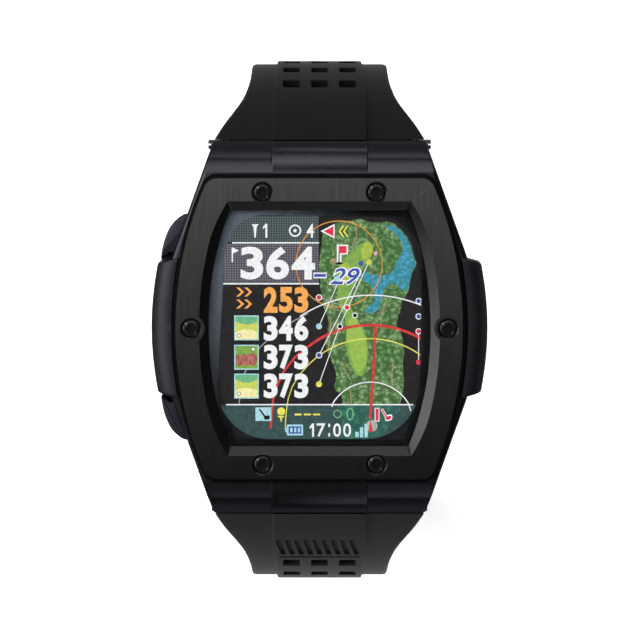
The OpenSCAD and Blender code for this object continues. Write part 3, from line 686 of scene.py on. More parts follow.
# ------------------------------------------------------------------ bezel
b_out = lambda d=0.0: barrel(arc_w(20.8, 52.4), 21.8, 2.0, ns=30, nc=10, ne=20, d=d)
b_fl = lambda d=0.0: barrel(arc_w(21.25, 52.4), 22.3, 2.4, ns=30, nc=10, ne=20, d=d)
w_top = interp_even([(0, 17.35), (2.5, 17.3), (7.0, 16.9), (12.3, 15.9), (15.5, 14.75), (18.35, 13.2), (21, 11.5)])
w_gl = interp_even([(0, 16.0), (4.4, 15.82), (8.3, 15.35), (12.9, 14.3), (15.2, 13.55), (17.0, 12.8), (20, 11.4)])
i_top = barrel(w_top, 18.35, 0.35, ns=30, nc=10, ne=20)
i_mid = barrel(w_top, 18.35, 0.35, ns=30, nc=10, ne=20, d=0.12)
i_gl = barrel(w_gl, 17.0, 0.7, ns=30, nc=10, ne=20)
i_gl2 = barrel(w_gl, 17.0, 0.7, ns=30, nc=10, ne=20, d=-0.14)
reb = barrel(arc_w(17.0, 47), 18.0, 1.2, ns=30, nc=10, ne=20)
rings = [ringz(b_fl(0.1), 11.02), ringz(b_fl(0), 11.12), ringz(b_fl(0), 11.95), ringz(b_fl(0.08), 12.06), ringz(b_out(0.02), 13.2), ringz(b_out(0.06), 13.33),
         ringz(b_out(0.18), BT), ringz(i_top, BT), ringz(i_mid, BT - 0.07), ringz(i_gl2, 12.62), ringz(i_gl, 12.54), ringz(i_gl, 12.47),
         ringz(reb, 12.47), ringz(reb, 11.02)]
bez = loft("bezel_ring", rings, M["bezel"], cap=False, loop=True, smooth=28)
BS = [(8.2, 19.6), (-8.2, 19.6), (8.2, -19.6), (-8.2, -19.6), (18.5, 0), (-18.5, 0)]
for x, y in BS[4:]:
    boolean(bez, zcyl(2.0, x, y, 12.3, BT - 0.001, n=56), "UNION")
for x, y in BS:
    boolean(bez, lathe("cut", [(0, 10.5), (0.75, 10.5), (0.75, 11.9), (1.35, 11.9), (1.35, 13.22), (1.66, 13.46), (0, 13.46)], (x, y, 0), n=56), "DIFFERENCE")
clean(bez, 0.001)
bez.data.materials.append(M["bevel"])
bez.data.materials.append(M["skirt"])
for p in bez.data.polygons:
    c, nn = p.center / MM, p.normal
    if c.z < BT - 0.002 and abs(nn.z) < 0.95:
        out = nn.x * c.x + nn.y * c.y > 0 and (abs(c.y) > 20.5 or abs(c.x) > arc_w(20.0, 52.4)(min(abs(c.y), 21.5)))
        p.material_index = 2 if out else 1
shade(bez, 28)
put(bez, "case", "bezel_black", "bezel")

# bezel screws: button heads with hex sockets
scr = []
for x, y in BS:
    h = lathe("scr", [(0, 6.5), (0.7, 6.5), (0.7, 11.92), (1.22, 11.92), (1.25, 12.0), (1.25, 12.92), (1.2, 13.02), (1.1, 13.08), (0.9, 13.1), (0, 13.1)], (x, y, 0), n=56)
    hexr = [(x + 0.78 * math.cos(math.radians(60 * i + 10)), y + 0.78 * math.sin(math.radians(60 * i + 10))) for i in range(6)]
    hexo = [(x + 0.84 * math.cos(math.radians(60 * i + 10)), y + 0.84 * math.sin(math.radians(60 * i + 10))) for i in range(6)]
    boolean(h, loft("hex", [[(a, b, 12.3) for a, b in hexr], [(a, b, 13.03) for a, b in hexr], [(a, b, 13.2) for a, b in hexo]]), "DIFFERENCE")
    scr.append(h)
scr = join(scr, "bezel_screw_set")
scr.data.materials.append(M["screw"])
shade(scr, 30)
put(scr, "case", "screw_black", "bezel_screws")

# ------------------------------------------------------------------ crystal
def cry(d):
    return barrel(arc_w(16.4 - d, 47 - d), 17.4 - d, max(0.9 - 0.5 * d, 0.35), ns=30, nc=10, ne=20)


rings = [ringz(cry(0.06), 11.25), ringz(cry(0), 11.31), ringz(cry(0), 12.02), ringz(cry(0.08), 12.1), ringz(cry(1.02), 12.4), ringz(cry(1.16), 12.44), ringz(cry(1.35), 12.45)]
crystal = loft("crystal_glass_pane", rings, M["glass"], smooth=6)
crystal.data.materials.append(M["glass_in"])
for p in crystal.data.polygons:
    if p.center.z / MM < 12.448:
        p.material_index = 1
put(crystal, "case", "crystal_glass", "crystal")

# ------------------------------------------------------------------ side guards
def bez_w(y):
    return arc_w(21.25, 52.4)(y) + 0.1


def guard_ring(f, ins):
    ring = []
    def P(x, z):
        y = f * (9.38 + (23.35 - x) * 0.256)
        return (x, y, z)
    yo = f * 9.38
    xo = 24.296 - 0.95 * (yo / 9.4) ** 2
    xi = bez_w(f * 9.9)
    xc = case_w(f * 9.7) + 0.03
    prof = [(xi, 11.03), (xi, 11.93), (xi + 0.05, 11.98), (xi + 0.3, 12.0), (xi + 1.0, 11.96), (xo - 1.5, 11.78), (xo - 1.2, 11.68), (xo - 0.85, 11.45), (xo - 0.5, 11.1), (xo - 0.25, 10.65),
            (xo - 0.08, 10.1), (xo, 9.5), (xo, 7.0), (xo, 4.4), (xo - 0.05, 4.0), (xo - 0.18, 3.6), (xo - 0.4, 3.2), (xo - 0.7, 2.93), (xo - 1.0, 2.8), (max(xc, xo - 1.4), 2.8),
            (xc, 2.86), (xc, 11.03)]
    cx, cz = (xi + xo) / 2 + 0.6, 7.5
    out = []
    for x, z in prof:
        if ins > 0:
            dx, dz = 0.0, 0.0
            if z > 11.1:
                dz = -ins
            if z < 3.3:
                dz = ins
            if x > xo - 0.6:
                dx = -ins
            if 11.1 > z > 10.0 and x > xo - 0.6:
                dz = -ins * 0.5
            x, z = x + dx, z + dz
        out.append(P(x, z))
    return out


fr = [(-1.0, 0.28), (-0.997, 0.16), (-0.990, 0.06), (-0.978, 0.0)] + [(i / 14 * 0.95, 0.0) for i in range(-14, 15)] + [(0.978, 0.0), (0.990, 0.06), (0.997, 0.16), (1.0, 0.28)]
gr = loft("side_guard_right_cover", [guard_ring(f, i) for f, i in fr], M["guard"], smooth=32)
gl = mirror_x(gr, "side_guard_left_cover")
for q in (1, -1):
    tp = [(-20.9, 8), (-23.1, 8), (-23.1, 9.2), (-22.95, 9.95), (-22.5, 10.75), (-21.25, 10.75)]
    boolean(gl, loft("toe", [[(x, q * y, 2.85) for x, y in tp], [(x, q * y, 4.08) for x, y in tp]]), "UNION")
shade(gl, 32)
put(gr, "case", "guard_black", "side_guard_right")
put(gl, "case", "guard_black", "side_guard_left")

# ------------------------------------------------------------------ button caps
cap_pts = hermite([(0.12, -3.6), (0.5, -3.35), (0.95, -2.8), (1.36, -2.1), (1.66, -1.3), (1.81, -0.3), (1.85, 0.7), (1.79, 1.7), (1.67, 2.6), (1.55, 3.15)], 4)
cap_pts = [(-1.1, -3.6)] + cap_pts + [(1.5, 3.4), (1.42, 3.6), (1.25, 3.58), (1.02, 3.4), (0.66, 2.86), (0.52, 2.55), (0.3, 2.42), (-1.1, 2.42)]


def inset2(pts, d):
    n = len(pts)
    out = []
    for i in range(n):
        a, b, c = np.array(pts[i - 1]), np.array(pts[i]), np.array(pts[(i + 1) % n])
        e1, e2 = b - a, c - b
        e1, e2 = e1 / max(1e-9, np.linalg.norm(e1)), e2 / max(1e-9, np.linalg.norm(e2))
        n1, n2 = np.array([-e1[1], e1[0]]), np.array([-e2[1], e2[0]])
        m = n1 + n2
        L = np.linalg.norm(m)
        m = m / L if L > 1e-6 else n1
        k = d / max(0.45, float(np.dot(m, n1)))
        out.append(tuple(b + m * k))
    return out


ar = sum(cap_pts[i - 1][0] * cap_pts[i][1] - cap_pts[i][0] * cap_pts[i - 1][1] for i in range(len(cap_pts)))
sg = 1 if ar > 0 else -1
for s, nm in ((1, "upper"), (-1, "lower")):
    f = button_xf(s)
    rings = []
    for z, d in ((-2.5, 0.3), (-2.47, 0.18), (-2.38, 0.07), (-2.2, 0.0), (2.2, 0.0), (2.38, 0.07), (2.47, 0.18), (2.5, 0.3)):
        ip = inset2(cap_pts, sg * d)
        rings.append([f(a, b, z) for a, b in ip])
    cap = loft(nm + "_button_crescent", rings, M["button"], smooth=32)
    boolean(cap, loft("well", [[f(a, 1.95 * math.cos(math.radians(t)), 1.95 * math.sin(math.radians(t))) for t in range(0, 360, 10)] for a in (-2.0, 1.12)]), "DIFFERENCE")
    shade(cap, 32)
    put(cap, nm + "_button", "button_black", nm + "_button_cap")

# ------------------------------------------------------------------ straps
S1 = [(27.12, 8.3), (33, 3.7), (37.95, -4), (37.95, -12)]
S2 = [(37.95, -12), (37.95, -15.2), (37.72, -19.6), (37, -22)]
S3 = [(31, -42), (29.2, -48), (28.0, -52), (26.2, -57.4)]
L3 = [(31, -42), (28.6, -50), (29.5, -61), (18, -61)]
ST, STE, SHW, SEW = 3.0, 2.8, 9.95, 9.1
sh = interp_even([(0, 40), (10, 30)])


def strap_path(end):
    P = []
    def seg(B, n, t0, t1, first=0):
        for i in range(first, n + 1):
            t = i / n
            P.append((bezp(B, t), t0 + (t1 - t0) * t))
    seg(S1, 34, 3.9, 3.3)
    seg(S2, 12, 3.3, ST, 1)
    for i in range(1, 14):
        t = i / 14
        P.append(((37 + (31 - 37) * t, -22 + (-42 + 22) * t), ST))
    if end == "short":
        seg(S3, 20, ST, STE)
    else:
        seg(L3, 36, ST, 2.5)
        for i in range(1, 15):
            t = i / 14
            P.append(((18 + (12.45 - 18) * t, -61), 2.5 - 0.2 * t))
    pts = [p for p, t in P]
    out = []
    for i, (p, t) in enumerate(P):
        a = pts[max(0, i - 1)]
        b = pts[min(len(pts) - 1, i + 1)]
        d = np.array([b[0] - a[0], b[1] - a[1]])
        d /= np.linalg.norm(d)
        out.append((np.array(p), np.array([d[1], -d[0]]), t, d))
    return out


SHW_PTS = [(27.0, 15.35), (28.4, 14.6), (29.9, 13.6), (31.4, 12.45), (32.9, 11.4), (34.2, 10.75), (35.6, 10.3), (37.0, 10.06), (38.6, 9.95)]


def shoulder_w(y):
    pts = SHW_PTS
    if y <= 27.0:
        return 15.35 + (27.0 - y) * 0.36
    if y >= 38.6:
        return 9.95
    ys = [p[0] for p in pts]
    i = max(0, min(len(pts) - 2, int(np.searchsorted(ys, y)) - 1))
    g = lambda k: pts[max(0, min(len(pts) - 1, k))]
    y0, y1 = pts[i][0], pts[i + 1][0]
    t = (y - y0) / (y1 - y0)
    a, b, c, d = g(i - 1)[1], g(i)[1], g(i + 1)[1], g(i + 2)[1]
    return 0.5 * (2 * b + (c - a) * t + (2 * a - 5 * b + 4 * c - d) * t * t + (-a + 3 * b - 3 * c + d) * t ** 3)


def xsec(w, t, rw, rh):
    """Half section from the top centre to the bottom centre: (x, depth below the wing surface)."""
    rh = max(rh, 0.0)
    k = min(1.0, rh / 0.7)
    h = [(0, -rh), (rw * 0.35, -rh), (rw * 0.7, -rh), (rw - 0.32, -rh), (rw - 0.14, -rh + 0.03 * k), (rw - 0.03, -rh + 0.12 * k), (rw + 0.02, -rh + 0.28 * k), (rw + 0.05, -0.16 * k),
         (rw + 0.12, -0.05 * k), (rw + 0.3, 0.0)]
    m = rw + 0.3
    h += [(m + (w - 0.75 - m) * 0.5, 0.0), (w - 0.75, 0.0), (w - 0.42, 0.04), (w - 0.2, 0.14), (w - 0.06, 0.32), (w, 0.6)]
    h += [(w, t * 0.5), (w, t - 0.55), (w - 0.06, t - 0.28), (w - 0.2, t - 0.1), (w - 0.45, t), (w * 0.6, t), (w * 0.3, t), (0, t)]
    return h


def strap_mesh(name, end):
    P = strap_path(end)
    rings = []
    p0, n0, t0, d0 = P[0]
    lead = [(p0 - d0 * k, n0, t0, d0) for k in (3.2, 1.6)]
    L = lead + P
    k_rib = 62 if end == "short" else 82
    for i, (p, n, t, d) in enumerate(L):
        y, z = p
        if i < len(lead) + 34:
            w = shoulder_w(y)
        else:
            w = SHW + (SEW - SHW) * min(1.0, max(0.0, (-14 - z) / 44))
        k = i - len(lead)
        rw = 6.85 - 0.3 * min(1.0, max(0.0, k / 30))
        rh = max(0.0, (0.69 - 0.23 * min(1.0, max(0.0, k / 34))) * min(1.0, (k_rib - k) / 2.5))
        if end == "long":
            dist = (y - 12.45) if z < -60.99 and y < 21.6 else 99
            if dist < 9.1:
                w = min(w, math.sqrt(max(0.02, SEW ** 2 - (SEW - dist) ** 2)))
                w = max(w, 1.2)
        rw = min(rw, w * 0.62)
        hs = xsec(w, t, rw, rh)
        full = [(x, h) for x, h in hs] + [(-x, h) for x, h in reversed(hs[1:-1])]
        rings.append([(x, p[0] + n[0] * h, p[1] + n[1] * h) for x, h in full])
    o = loft(name, rings, M["rubber"], smooth=30)
    # cut square at the seam
    boolean(o, bx(-20, 20, 0, 27.12, -10, 20), "DIFFERENCE")
    return o, P


def head(o):
    poly = [(EY, 7.5), (27.2, 7.5), (29.5, 6.6), (30, 3.2), (27.9, 3.15), (EY, 3.15)]
    boolean(o, along_x("hd", poly, -6.6, 6.6), "UNION")
    boolean(o, xcyl(2.3, -6.6, 6.6, EY, EZ, n=64), "UNION")
    for a, b in ((6.75, 13.24), (-13.24, -6.75)):
        boolean(o, xcyl(2.58, a, b, EY, EZ, n=64), "DIFFERENCE")
    boolean(o, xcyl(0.95, -8, 8, EY, EZ, n=32), "DIFFERENCE")
    for a, b in ((6.7, 16.2), (-16.2, -6.7)):
        boolean(o, along_x("w", [(26, EZ), (27.12, EZ), (28.0, 1.5), (26, 1.5)], a, b), "DIFFERENCE")


def sample_at(B, t, th):
    p, q, r = np.array(bezp(B, t)), np.array(bezp(B, max(0.0, t - 0.01))), np.array(bezp(B, min(1.0, t + 0.01)))
    d = (r - q) / np.linalg.norm(r - q)
    return (p, np.array([d[1], -d[0]]), th, d)


ADJ = [sample_at([(37, -22), (35, -28.7), (33, -35.3), (31, -42)], _u, 3.0) for _u in (0.62, 0.95)]
VENTS = [sample_at(S1, 0.493, 3.6), sample_at(S1, 0.69, 3.5), sample_at(S1, 0.89, 3.35), sample_at(S2, 0.30, 3.2)]


def slots(o, P, rows, cols, w=2.4, l=1.9):
    cut = []
    for i in rows:
        p, n, t, d = P[i] if isinstance(i, int) else i
        for x in cols:
            pts = rrect(0, 0, w / 2, l / 2, 0.28, 4)
            pts2 = rrect(0, 0, w / 2 + 0.22, l / 2 + 0.22, 0.45, 4)
            R = []
            for h, q in ((-0.9, pts2), (-0.62, pts2), (-0.4, pts), (t - 0.2, pts), (t + 0.05, pts2), (t + 0.6, pts2)):
                R.append([(x + a, p[0] + d[0] * b + n[0] * h, p[1] + d[1] * b + n[1] * h) for a, b in q])
            cut.append(loft("s", R))
    c = join(cut, "slots")
    boolean(o, c, "DIFFERENCE")


def finish_mesh(o, ang=30):
    clean(o, 0.0015)
    shade(o, ang)


up, PU = strap_mesh("strap_upper_rubber", "short")
head(up)
QY, QZ = 23.9, -59.1
boolean(up, along_x("k", [(26.6, -56.0), (25.72, -58.5), (24.6, -60.3), (22.2, -58.4), (23.6, -55.4)], -9.0, 9.0), "UNION")
boolean(up, xcyl(1.9, -9.0, 9.0, QY, QZ, n=48), "UNION")
boolean(up, xcyl(0.86, -12, 12, QY, QZ, n=32), "DIFFERENCE")
boolean(up, bx(-1.7, 1.7, 19, 26.4, -64, -56.7), "DIFFERENCE")
slots(up, PU, VENTS, (-4.1, 0, 4.1))
# the upper strap takes the darker rubber copy, as painted shade
up.data.materials.clear()
up.data.materials.append(M["rubber_up"])
finish_mesh(up)
put(up, "upper_strap", "strap_rubber", "strap_upper")

lo, PL = strap_mesh("strap_lower_rubber", "long")
head(lo)
slots(lo, PL, VENTS, (-4.1, 0, 4.1))
for _t in (0.22, 0.44, 0.61, 0.78, 0.94):
    ADJ.append(sample_at(L3, _t, 2.75))
slots(lo, PL, ADJ, (0,))
hp = sample_at(S1, 0.300, 3.7)
eng = []
for i in range(9):
    x0 = -6.0 + 1.34 * i
    R = []
    for h in (-1.2, -0.16):
        R.append([(x0 + a + 0.20 * b, hp[0][0] + hp[3][0] * b + hp[1][0] * h, hp[0][1] + hp[3][1] * b + hp[1][1] * h)
                  for a, b in ((0, -1.95), (0.72, -1.95), (0.72, 1.95), (0, 1.95))])
    eng.append(loft("e", R))
gp = sample_at(S1, 0.41, 3.65)
eng.append(loft("g", [[(a, gp[0][0] + gp[3][0] * b + gp[1][0] * h, gp[0][1] + gp[3][1] * b + gp[1][1] * h)
                       for a, b in ((-5.9, -0.18), (5.9, -0.18), (5.9, 0.18), (-5.9, 0.18))] for h in (-1.2, -0.16)]))
for e in eng:
    boolean(lo, e, "DIFFERENCE")
finish_mesh(lo)
lom = mirror_y(lo, "strap_lower_rubber_half")
_d = lo.data
bpy.data.objects.remove(lo)
bpy.data.meshes.remove(_d)
shade(lom, 30)
put(lom, "lower_strap", "strap_rubber", "strap_lower")

# ------------------------------------------------------------------ keepers: swept rounded loops
def keeper_mesh(name, l, hx, gin, gout, cy, cz, ang, mat):
    wall = 1.4
    path = rrect(0, (gout - gin) / 2, hx + wall / 2, (gin + gout) / 2 + wall / 2, 1.3, 7)
    n = len(path)
    sec = [(a, b) for a, b in rrect(0, 0, wall / 2, l / 2, 0.35, 4)]
    rings = []
    for i in range(n):
        a, b, c = np.array(path[i - 1]), np.array(path[i]), np.array(path[(i + 1) % n])
        d = c - a
        d /= np.linalg.norm(d)
        nn = np.array([d[1], -d[0]])
        rings.append([(b[0] + nn[0] * u, b[1] + nn[1] * u, v) for u, v in sec])
    o = loft(name, rings, mat, cap=False, loop=True, smooth=40)
    m = Matrix.Translation(Vector((0, cy * MM, cz * MM))) @ Matrix.Rotation(math.radians(ang), 4, "X")
    o.data.transform(m)
    return o


k1 = keeper_mesh("free_keeper_loop", 6, 9.95, 3.35, 2.9, 30.22, -44.6, -16.7, M["rubber"])
put(k1, "keeper", "strap_rubber", "free_keeper")
k2 = keeper_mesh("fixed_keeper_loop", 5, 9.75, 3.25, 2.9, 28.12, -51.6, -17.6, M["rubber"])
put(k2, "upper_strap", "strap_rubber", "fixed_keeper")

# ------------------------------------------------------------------ strap bar end screws, with dark blocks under the lug gaps as painted shade
bs = []
for sy in (1, -1):
    for sx_ in (1, -1):
        xe = 15.95 if sy > 0 else 15.5
        h = lathe("bs", [(0, 9), (0.5, 9), (0.5, 13.27), (0.72, 13.27), (0.72, xe), (0.66, xe + 0.15), (0.5, xe + 0.21), (0, xe + 0.22)], (0, sy * EY, EZ), axis="X", n=32)
        if sx_ < 0:
            h.data.transform(Matrix.Scale(-1, 4, Vector((1, 0, 0))))
            h.data.flip_normals()
        boolean(h, bx(*sorted((sx_ * (xe - 0.2), sx_ * 16.6)), sy * EY - 0.11, sy * EY + 0.11, EZ - 1, EZ + 1), "DIFFERENCE")
        bs.append(h)
        # dark block below each lug gap: painted shade that hides the floor seen through the gap, not a part of the
        # screw
        bs.append(bx(*sorted((sx_ * 13.27, sx_ * 15.2)), *sorted((sy * 26.4, sy * 27.2)), 2.95, 3.6))
bs = join(bs, "strap_bar_end_screws_and_shade_blocks")
bs.data.materials.clear()
bs.data.materials.append(M["screw"])
for p in bs.data.polygons:
    p.material_index = 0
shade(bs, 30)
put(bs, "case", "screw_black", "strap_bar_screws")

# ------------------------------------------------------------------ CAD nodes that stay, with their own materials
NODE_MAT = {
    "case_back": "back", "case_back_gasket": "seal", "case_back_screws": "steel", "crystal_gasket": "seal",
    "display_flex": "flex", "inner_frame": "plastic", "main_pcb": "pcb", "processor_chip": "chip", "shield_can": "steel",
    "gps_antenna": "ceramic", "battery": "foil", "battery_lead": "lead", "vibration_motor": "steel",
    "charging_contact_block": "plastic", "charging_contacts": "gold", "pcb_screws": "steel", "guard_screws": "steel",
    "upper_button_stem": "steel", "upper_button_oring": "seal", "upper_button_spring": "steel", "upper_button_clip": "steel",
    "lower_button_stem": "steel", "lower_button_oring": "seal", "lower_button_spring": "steel", "lower_button_clip": "steel",
    "button_switches": "plastic", "upper_switch_plunger": "ceramic", "lower_switch_plunger": "ceramic",
    "side_key_board": "flex", "strap_bars": "steel", "buckle_frame": "buckle",
    "buckle_spring_bar": "steel", "buckle_tongue": "buckle", "display_module": "chip",
}
for nm, mt in NODE_MAT.items():
    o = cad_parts[nm]
    o.data.materials.clear()
    o.data.materials.append(M[mt])
for nm, w in (("buckle_frame", 0.35), ("buckle_tongue", 0.3), ("case_back", 0.12), ("case_back_screws", 0.06)):
    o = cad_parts[nm]
    wd = o.modifiers.new("weld", "WELD")
    wd.merge_threshold = 0.000002
    bv = o.modifiers.new("bevel", "BEVEL")
    bv.width = w * MM
    bv.segments = 3
    bv.limit_method = "ANGLE"
    bv.angle_limit = math.radians(40)
    bv.harden_normals = False
    for p in o.data.polygons:
        p.use_smooth = True
    o.data.set_sharp_from_angle(angle=math.radians(40))

# ------------------------------------------------------------------ display
def px(x):
    return (x - 319.5) * 0.144


def py(y):
    return (328.5 - y) * 0.144


Z0 = 10.75
LZ = 0.016


def flat(name, pts, layer, mat, th=0.010):
    """Thin plate of a picture outline given in picture units (x right, y down)."""
    P = [(px(x), py(y)) for x, y in pts]
    z = Z0 + LZ * layer
    return loft(name, [ringz(P, z), ringz(P, z + th)], mat, smooth=30)


# visible area of the panel: large corner radii
act = []
for (cx_, cy_, a0, rx, ry) in ((375, 262, 0, 47, 46), (256, 260, 90, 38, 48), (268, 384, 180, 52, 56), (366, 386, 270, 54, 54)):
    for i in range(13):
        a = math.radians(a0 + 90 * i / 12)
        act.append((cx_ + rx * math.cos(a), cy_ - ry * math.sin(a)))

# black printed border under the glass; its colour carries a painted highlight that brightens it towards the upper left
mo = barrel(arc_w(16.3, 47), 17.3, 0.9)


def border(x, y):
    """The printed border is wider at the upper left, where it carries a painted highlight standing in for the bright
    edge of the crystal.
    """
    dx = 6.5 * max(0.0, min(1.0, (405 - y) / 130.0)) * max(0.0, min(1.0, (320 - x) / 60.0))
    dy = 3.2 * max(0.0, min(1.0, (245 - y) / 20.0)) * max(0.0, min(1.0, (400 - x) / 90.0))
    return px(x + dx), py(y + dy)


A = [border(x, y) for x, y in act]


def resample(poly, n):
    P = [np.array(p, float) for p in poly]
    P.append(P[0])
    L = [0]
    for i in range(1, len(P)):
        L.append(L[-1] + np.linalg.norm(P[i] - P[i - 1]))
    out = []
    for k in range(n):
        s = L[-1] * k / n
        i = max(0, min(len(P) - 2, int(np.searchsorted(L, s, side="right")) - 1))
        t = (s - L[i]) / max(1e-9, L[i + 1] - L[i])
        out.append(tuple(P[i] * (1 - t) + P[i + 1] * t))
    return out


def polar_match(outer, inner, n=160):
    """Same number of points on two star-shaped outlines, matched by angle."""
    def ray(poly, a):
        d = np.array([math.cos(a), math.sin(a)])
        best = None
        m = len(poly)
        for i in range(m):
            p, q = np.array(poly[i]), np.array(poly[(i + 1) % m])
            e = q - p
            den = d[0] * e[1] - d[1] * e[0]
            if abs(den) < 1e-12:
                continue
            t = (p[0] * e[1] - p[1] * e[0]) / den
            u = (p[0] * d[1] - p[1] * d[0]) / den
            if t > 0 and -1e-9 <= u <= 1 + 1e-9 and (best is None or t > best):
                best = t
        return tuple(d * best)
    ang = [2 * math.pi * (k + 0.5) / n for k in range(n)]
    return [ray(outer, a) for a in ang], [ray(inner, a) for a in ang]


mo2, mi2 = polar_match(mo, A)
# border plate: print colour with the painted highlight of the crystal edge
maskp = loft("display_border_print_painted_highlight", [ringz(mo2, 11.05), ringz(mo2, 11.23), ringz(mi2, 11.23), ringz(mi2, 11.05)], M["mask"], cap=False, loop=True, smooth=30)
put(maskp, "case", "mask_black", "display_mask")

G = {}
G["dark"] = mk_glow("lcd_dark", lin(22, 20, 22), lin(34, 31, 33), 1.0, 1400)
G["green_panel"] = mk_dots("lcd_header_raster", lin(50, 62, 64), lin(96, 108, 108))
G["grey_panel"] = mk_dots("lcd_distance_raster", lin(66, 64, 74), lin(122, 120, 130))
G["white"] = mk_glow("lcd_white", lin(232, 234, 236), lin(252, 253, 253), 1.0, 3000)
G["grey"] = mk_glow("lcd_grey", lin(150, 152, 150), lin(190, 192, 190), 1.0, 3000)
G["orange"] = mk_glow("lcd_orange", lin(238, 158, 70), lin(252, 186, 104), 1.0, 2500)
G["oline"] = mk_glow("lcd_orange_line", lin(196, 132, 36), lin(226, 168, 70), 1.0, 3000)
G["yellow"] = mk_glow("lcd_yellow", lin(222, 214, 60), lin(250, 244, 120), 1.0, 2500)
G["red"] = mk_glow("lcd_red", lin(196, 40, 50), lin(226, 70, 66), 1.0, 2500)
G["crimson"] = mk_glow("lcd_crimson", lin(214, 30, 62), lin(236, 60, 90), 1.0, 2500)
G["blue"] = mk_glow("lcd_blue", lin(46, 66, 160), lin(72, 92, 186), 1.0, 2500)
G["sky"] = mk_glow("lcd_sky", lin(150, 206, 214), lin(190, 230, 236), 1.0, 2500)
G["teal"] = mk_glow("lcd_teal", lin(46, 70, 70), lin(60, 86, 86), 1.0, 1200)
G["black"] = mk_glow("lcd_black", lin(8, 8, 10), lin(16, 16, 18), 1.0, 2500)
G["trees"] = mk_glow("lcd_trees", lin(64, 98, 54), lin(122, 160, 104), 1.0, 3600, (0.34, 0.62), vor=1500, c3=lin(170, 198, 140))
G["wood"] = mk_glow("lcd_wood", lin(56, 100, 52), lin(112, 152, 92), 1.0, 3800, (0.36, 0.62), vor=1700, c3=lin(128, 166, 106))
G["grass"] = mk_glow("lcd_grass", lin(112, 158, 70), lin(140, 180, 82), 1.0, 1500, (0.35, 0.65))
G["fairway"] = mk_glow("lcd_fairway", lin(138, 178, 74), lin(166, 198, 92), 1.0, 1500, (0.35, 0.65))
G["putt"] = mk_glow("lcd_putting_green", lin(154, 178, 66), lin(182, 200, 86), 1.0, 1500, (0.35, 0.65))
G["water"] = mk_glow("lcd_water", lin(52, 134, 146), lin(78, 164, 200), 1.0, 2600, (0.36, 0.62), vor=1900, c3=lin(108, 188, 216))
G["waterband"] = mk_glow("lcd_water_band", lin(40, 90, 84), lin(60, 118, 92), 1.0, 1700, (0.38, 0.62), vor=900)
G["path"] = mk_glow("lcd_path", lin(150, 132, 92), lin(182, 160, 116), 1.0, 2500)
G["sand"] = mk_glow("lcd_sand", lin(238, 226, 150), lin(252, 244, 190), 1.0, 2500)
G["lime"] = mk_glow("lcd_lime", lin(196, 206, 84), lin(214, 220, 110), 1.0, 2500)
G["mid"] = mk_glow("lcd_midgreen", lin(92, 170, 122), lin(120, 190, 140), 1.0, 2500)
G["bush"] = mk_glow("lcd_bush", lin(132, 72, 60), lin(196, 118, 110), 1.0, 3600, (0.4, 0.6), stretch=(1, 0.35, 1))
G["pinkish"] = mk_glow("lcd_pink", lin(206, 150, 160), lin(226, 176, 180), 1.0, 2500)
G["dimline"] = mk_glow("lcd_dim", lin(110, 96, 96), lin(140, 124, 122), 1.0, 2500)

pieces = {}


def add(group, o):
    pieces.setdefault(group, []).append(o)


def poly(group, pts, layer, mat):
    add(group, flat("p", pts, layer, G[mat]))


def smooth_poly(group, pts, layer, mat, n=5, rough=0.0, seed=1):
    P = hermite(list(pts) + [pts[0]], n)[:-1]
    if rough:
        rg = np.random.RandomState(seed)
        P = [(x + rg.uniform(-rough, rough), y + rg.uniform(-rough, rough)) for x, y in P]
    add(group, flat("p", P, layer, G[mat]))


def line(group, pts, w, layer, mat):
    """Ribbon along a polyline, width w in picture units."""
    P = [np.array(p, float) for p in pts]
    Lp, Rp = [], []
    for i in range(len(P)):
        a, b = P[max(0, i - 1)], P[min(len(P) - 1, i + 1)]
        d = (b - a) / max(1e-9, np.linalg.norm(b - a))
        nn = np.array([-d[1], d[0]]) * w / 2
        Lp.append(tuple(P[i] + nn))
        Rp.append(tuple(P[i] - nn))
    add(group, flat("l", Lp + Rp[::-1], layer, G[mat]))


def arc3(p0, p1, p2, n=24):
    """Circle through three points, as a list from p0 to p2."""
    ax, ay = p0; bx_, by_ = p1; cx_, cy_ = p2
    d = 2 * (ax * (by_ - cy_) + bx_ * (cy_ - ay) + cx_ * (ay - by_))
    ux = ((ax * ax + ay * ay) * (by_ - cy_) + (bx_ * bx_ + by_ * by_) * (cy_ - ay) + (cx_ * cx_ + cy_ * cy_) * (ay - by_)) / d
    uy = ((ax * ax + ay * ay) * (cx_ - bx_) + (bx_ * bx_ + by_ * by_) * (ax - cx_) + (cx_ * cx_ + cy_ * cy_) * (bx_ - ax)) / d
    r = math.hypot(ax - ux, ay - uy)
    a0, a1, a2 = (math.atan2(p[1] - uy, p[0] - ux) for p in (p0, p1, p2))
    def between(s, e, m):
        return s < m < e or e < m < s
    if not between(a0, a2, a1):
        a2 += 2 * math.pi if a2 < a0 else -2 * math.pi
    return [(ux + r * math.cos(a0 + (a2 - a0) * i / n), uy + r * math.sin(a0 + (a2 - a0) * i / n)) for i in range(n + 1)]


def disc(group, x, y, r, layer, mat, n=24):
    poly(group, [(x + r * math.cos(2 * math.pi * i / n), y + r * math.sin(2 * math.pi * i / n)) for i in range(n)], layer, mat)


def ring(group, x, y, r0, r1, layer, mat, n=96):
    o = [(px(x + r1 * math.cos(2 * math.pi * i / n)), py(y + r1 * math.sin(2 * math.pi * i / n))) for i in range(n)]
    i_ = [(px(x + r0 * math.cos(2 * math.pi * i / n)), py(y + r0 * math.sin(2 * math.pi * i / n))) for i in range(n)]
    z = Z0 + LZ * layer
    add(group, loft("r", [ringz(o, z), ringz(o, z + 0.01), ringz(i_, z + 0.01), ringz(i_, z)], G[mat], cap=False, loop=True))


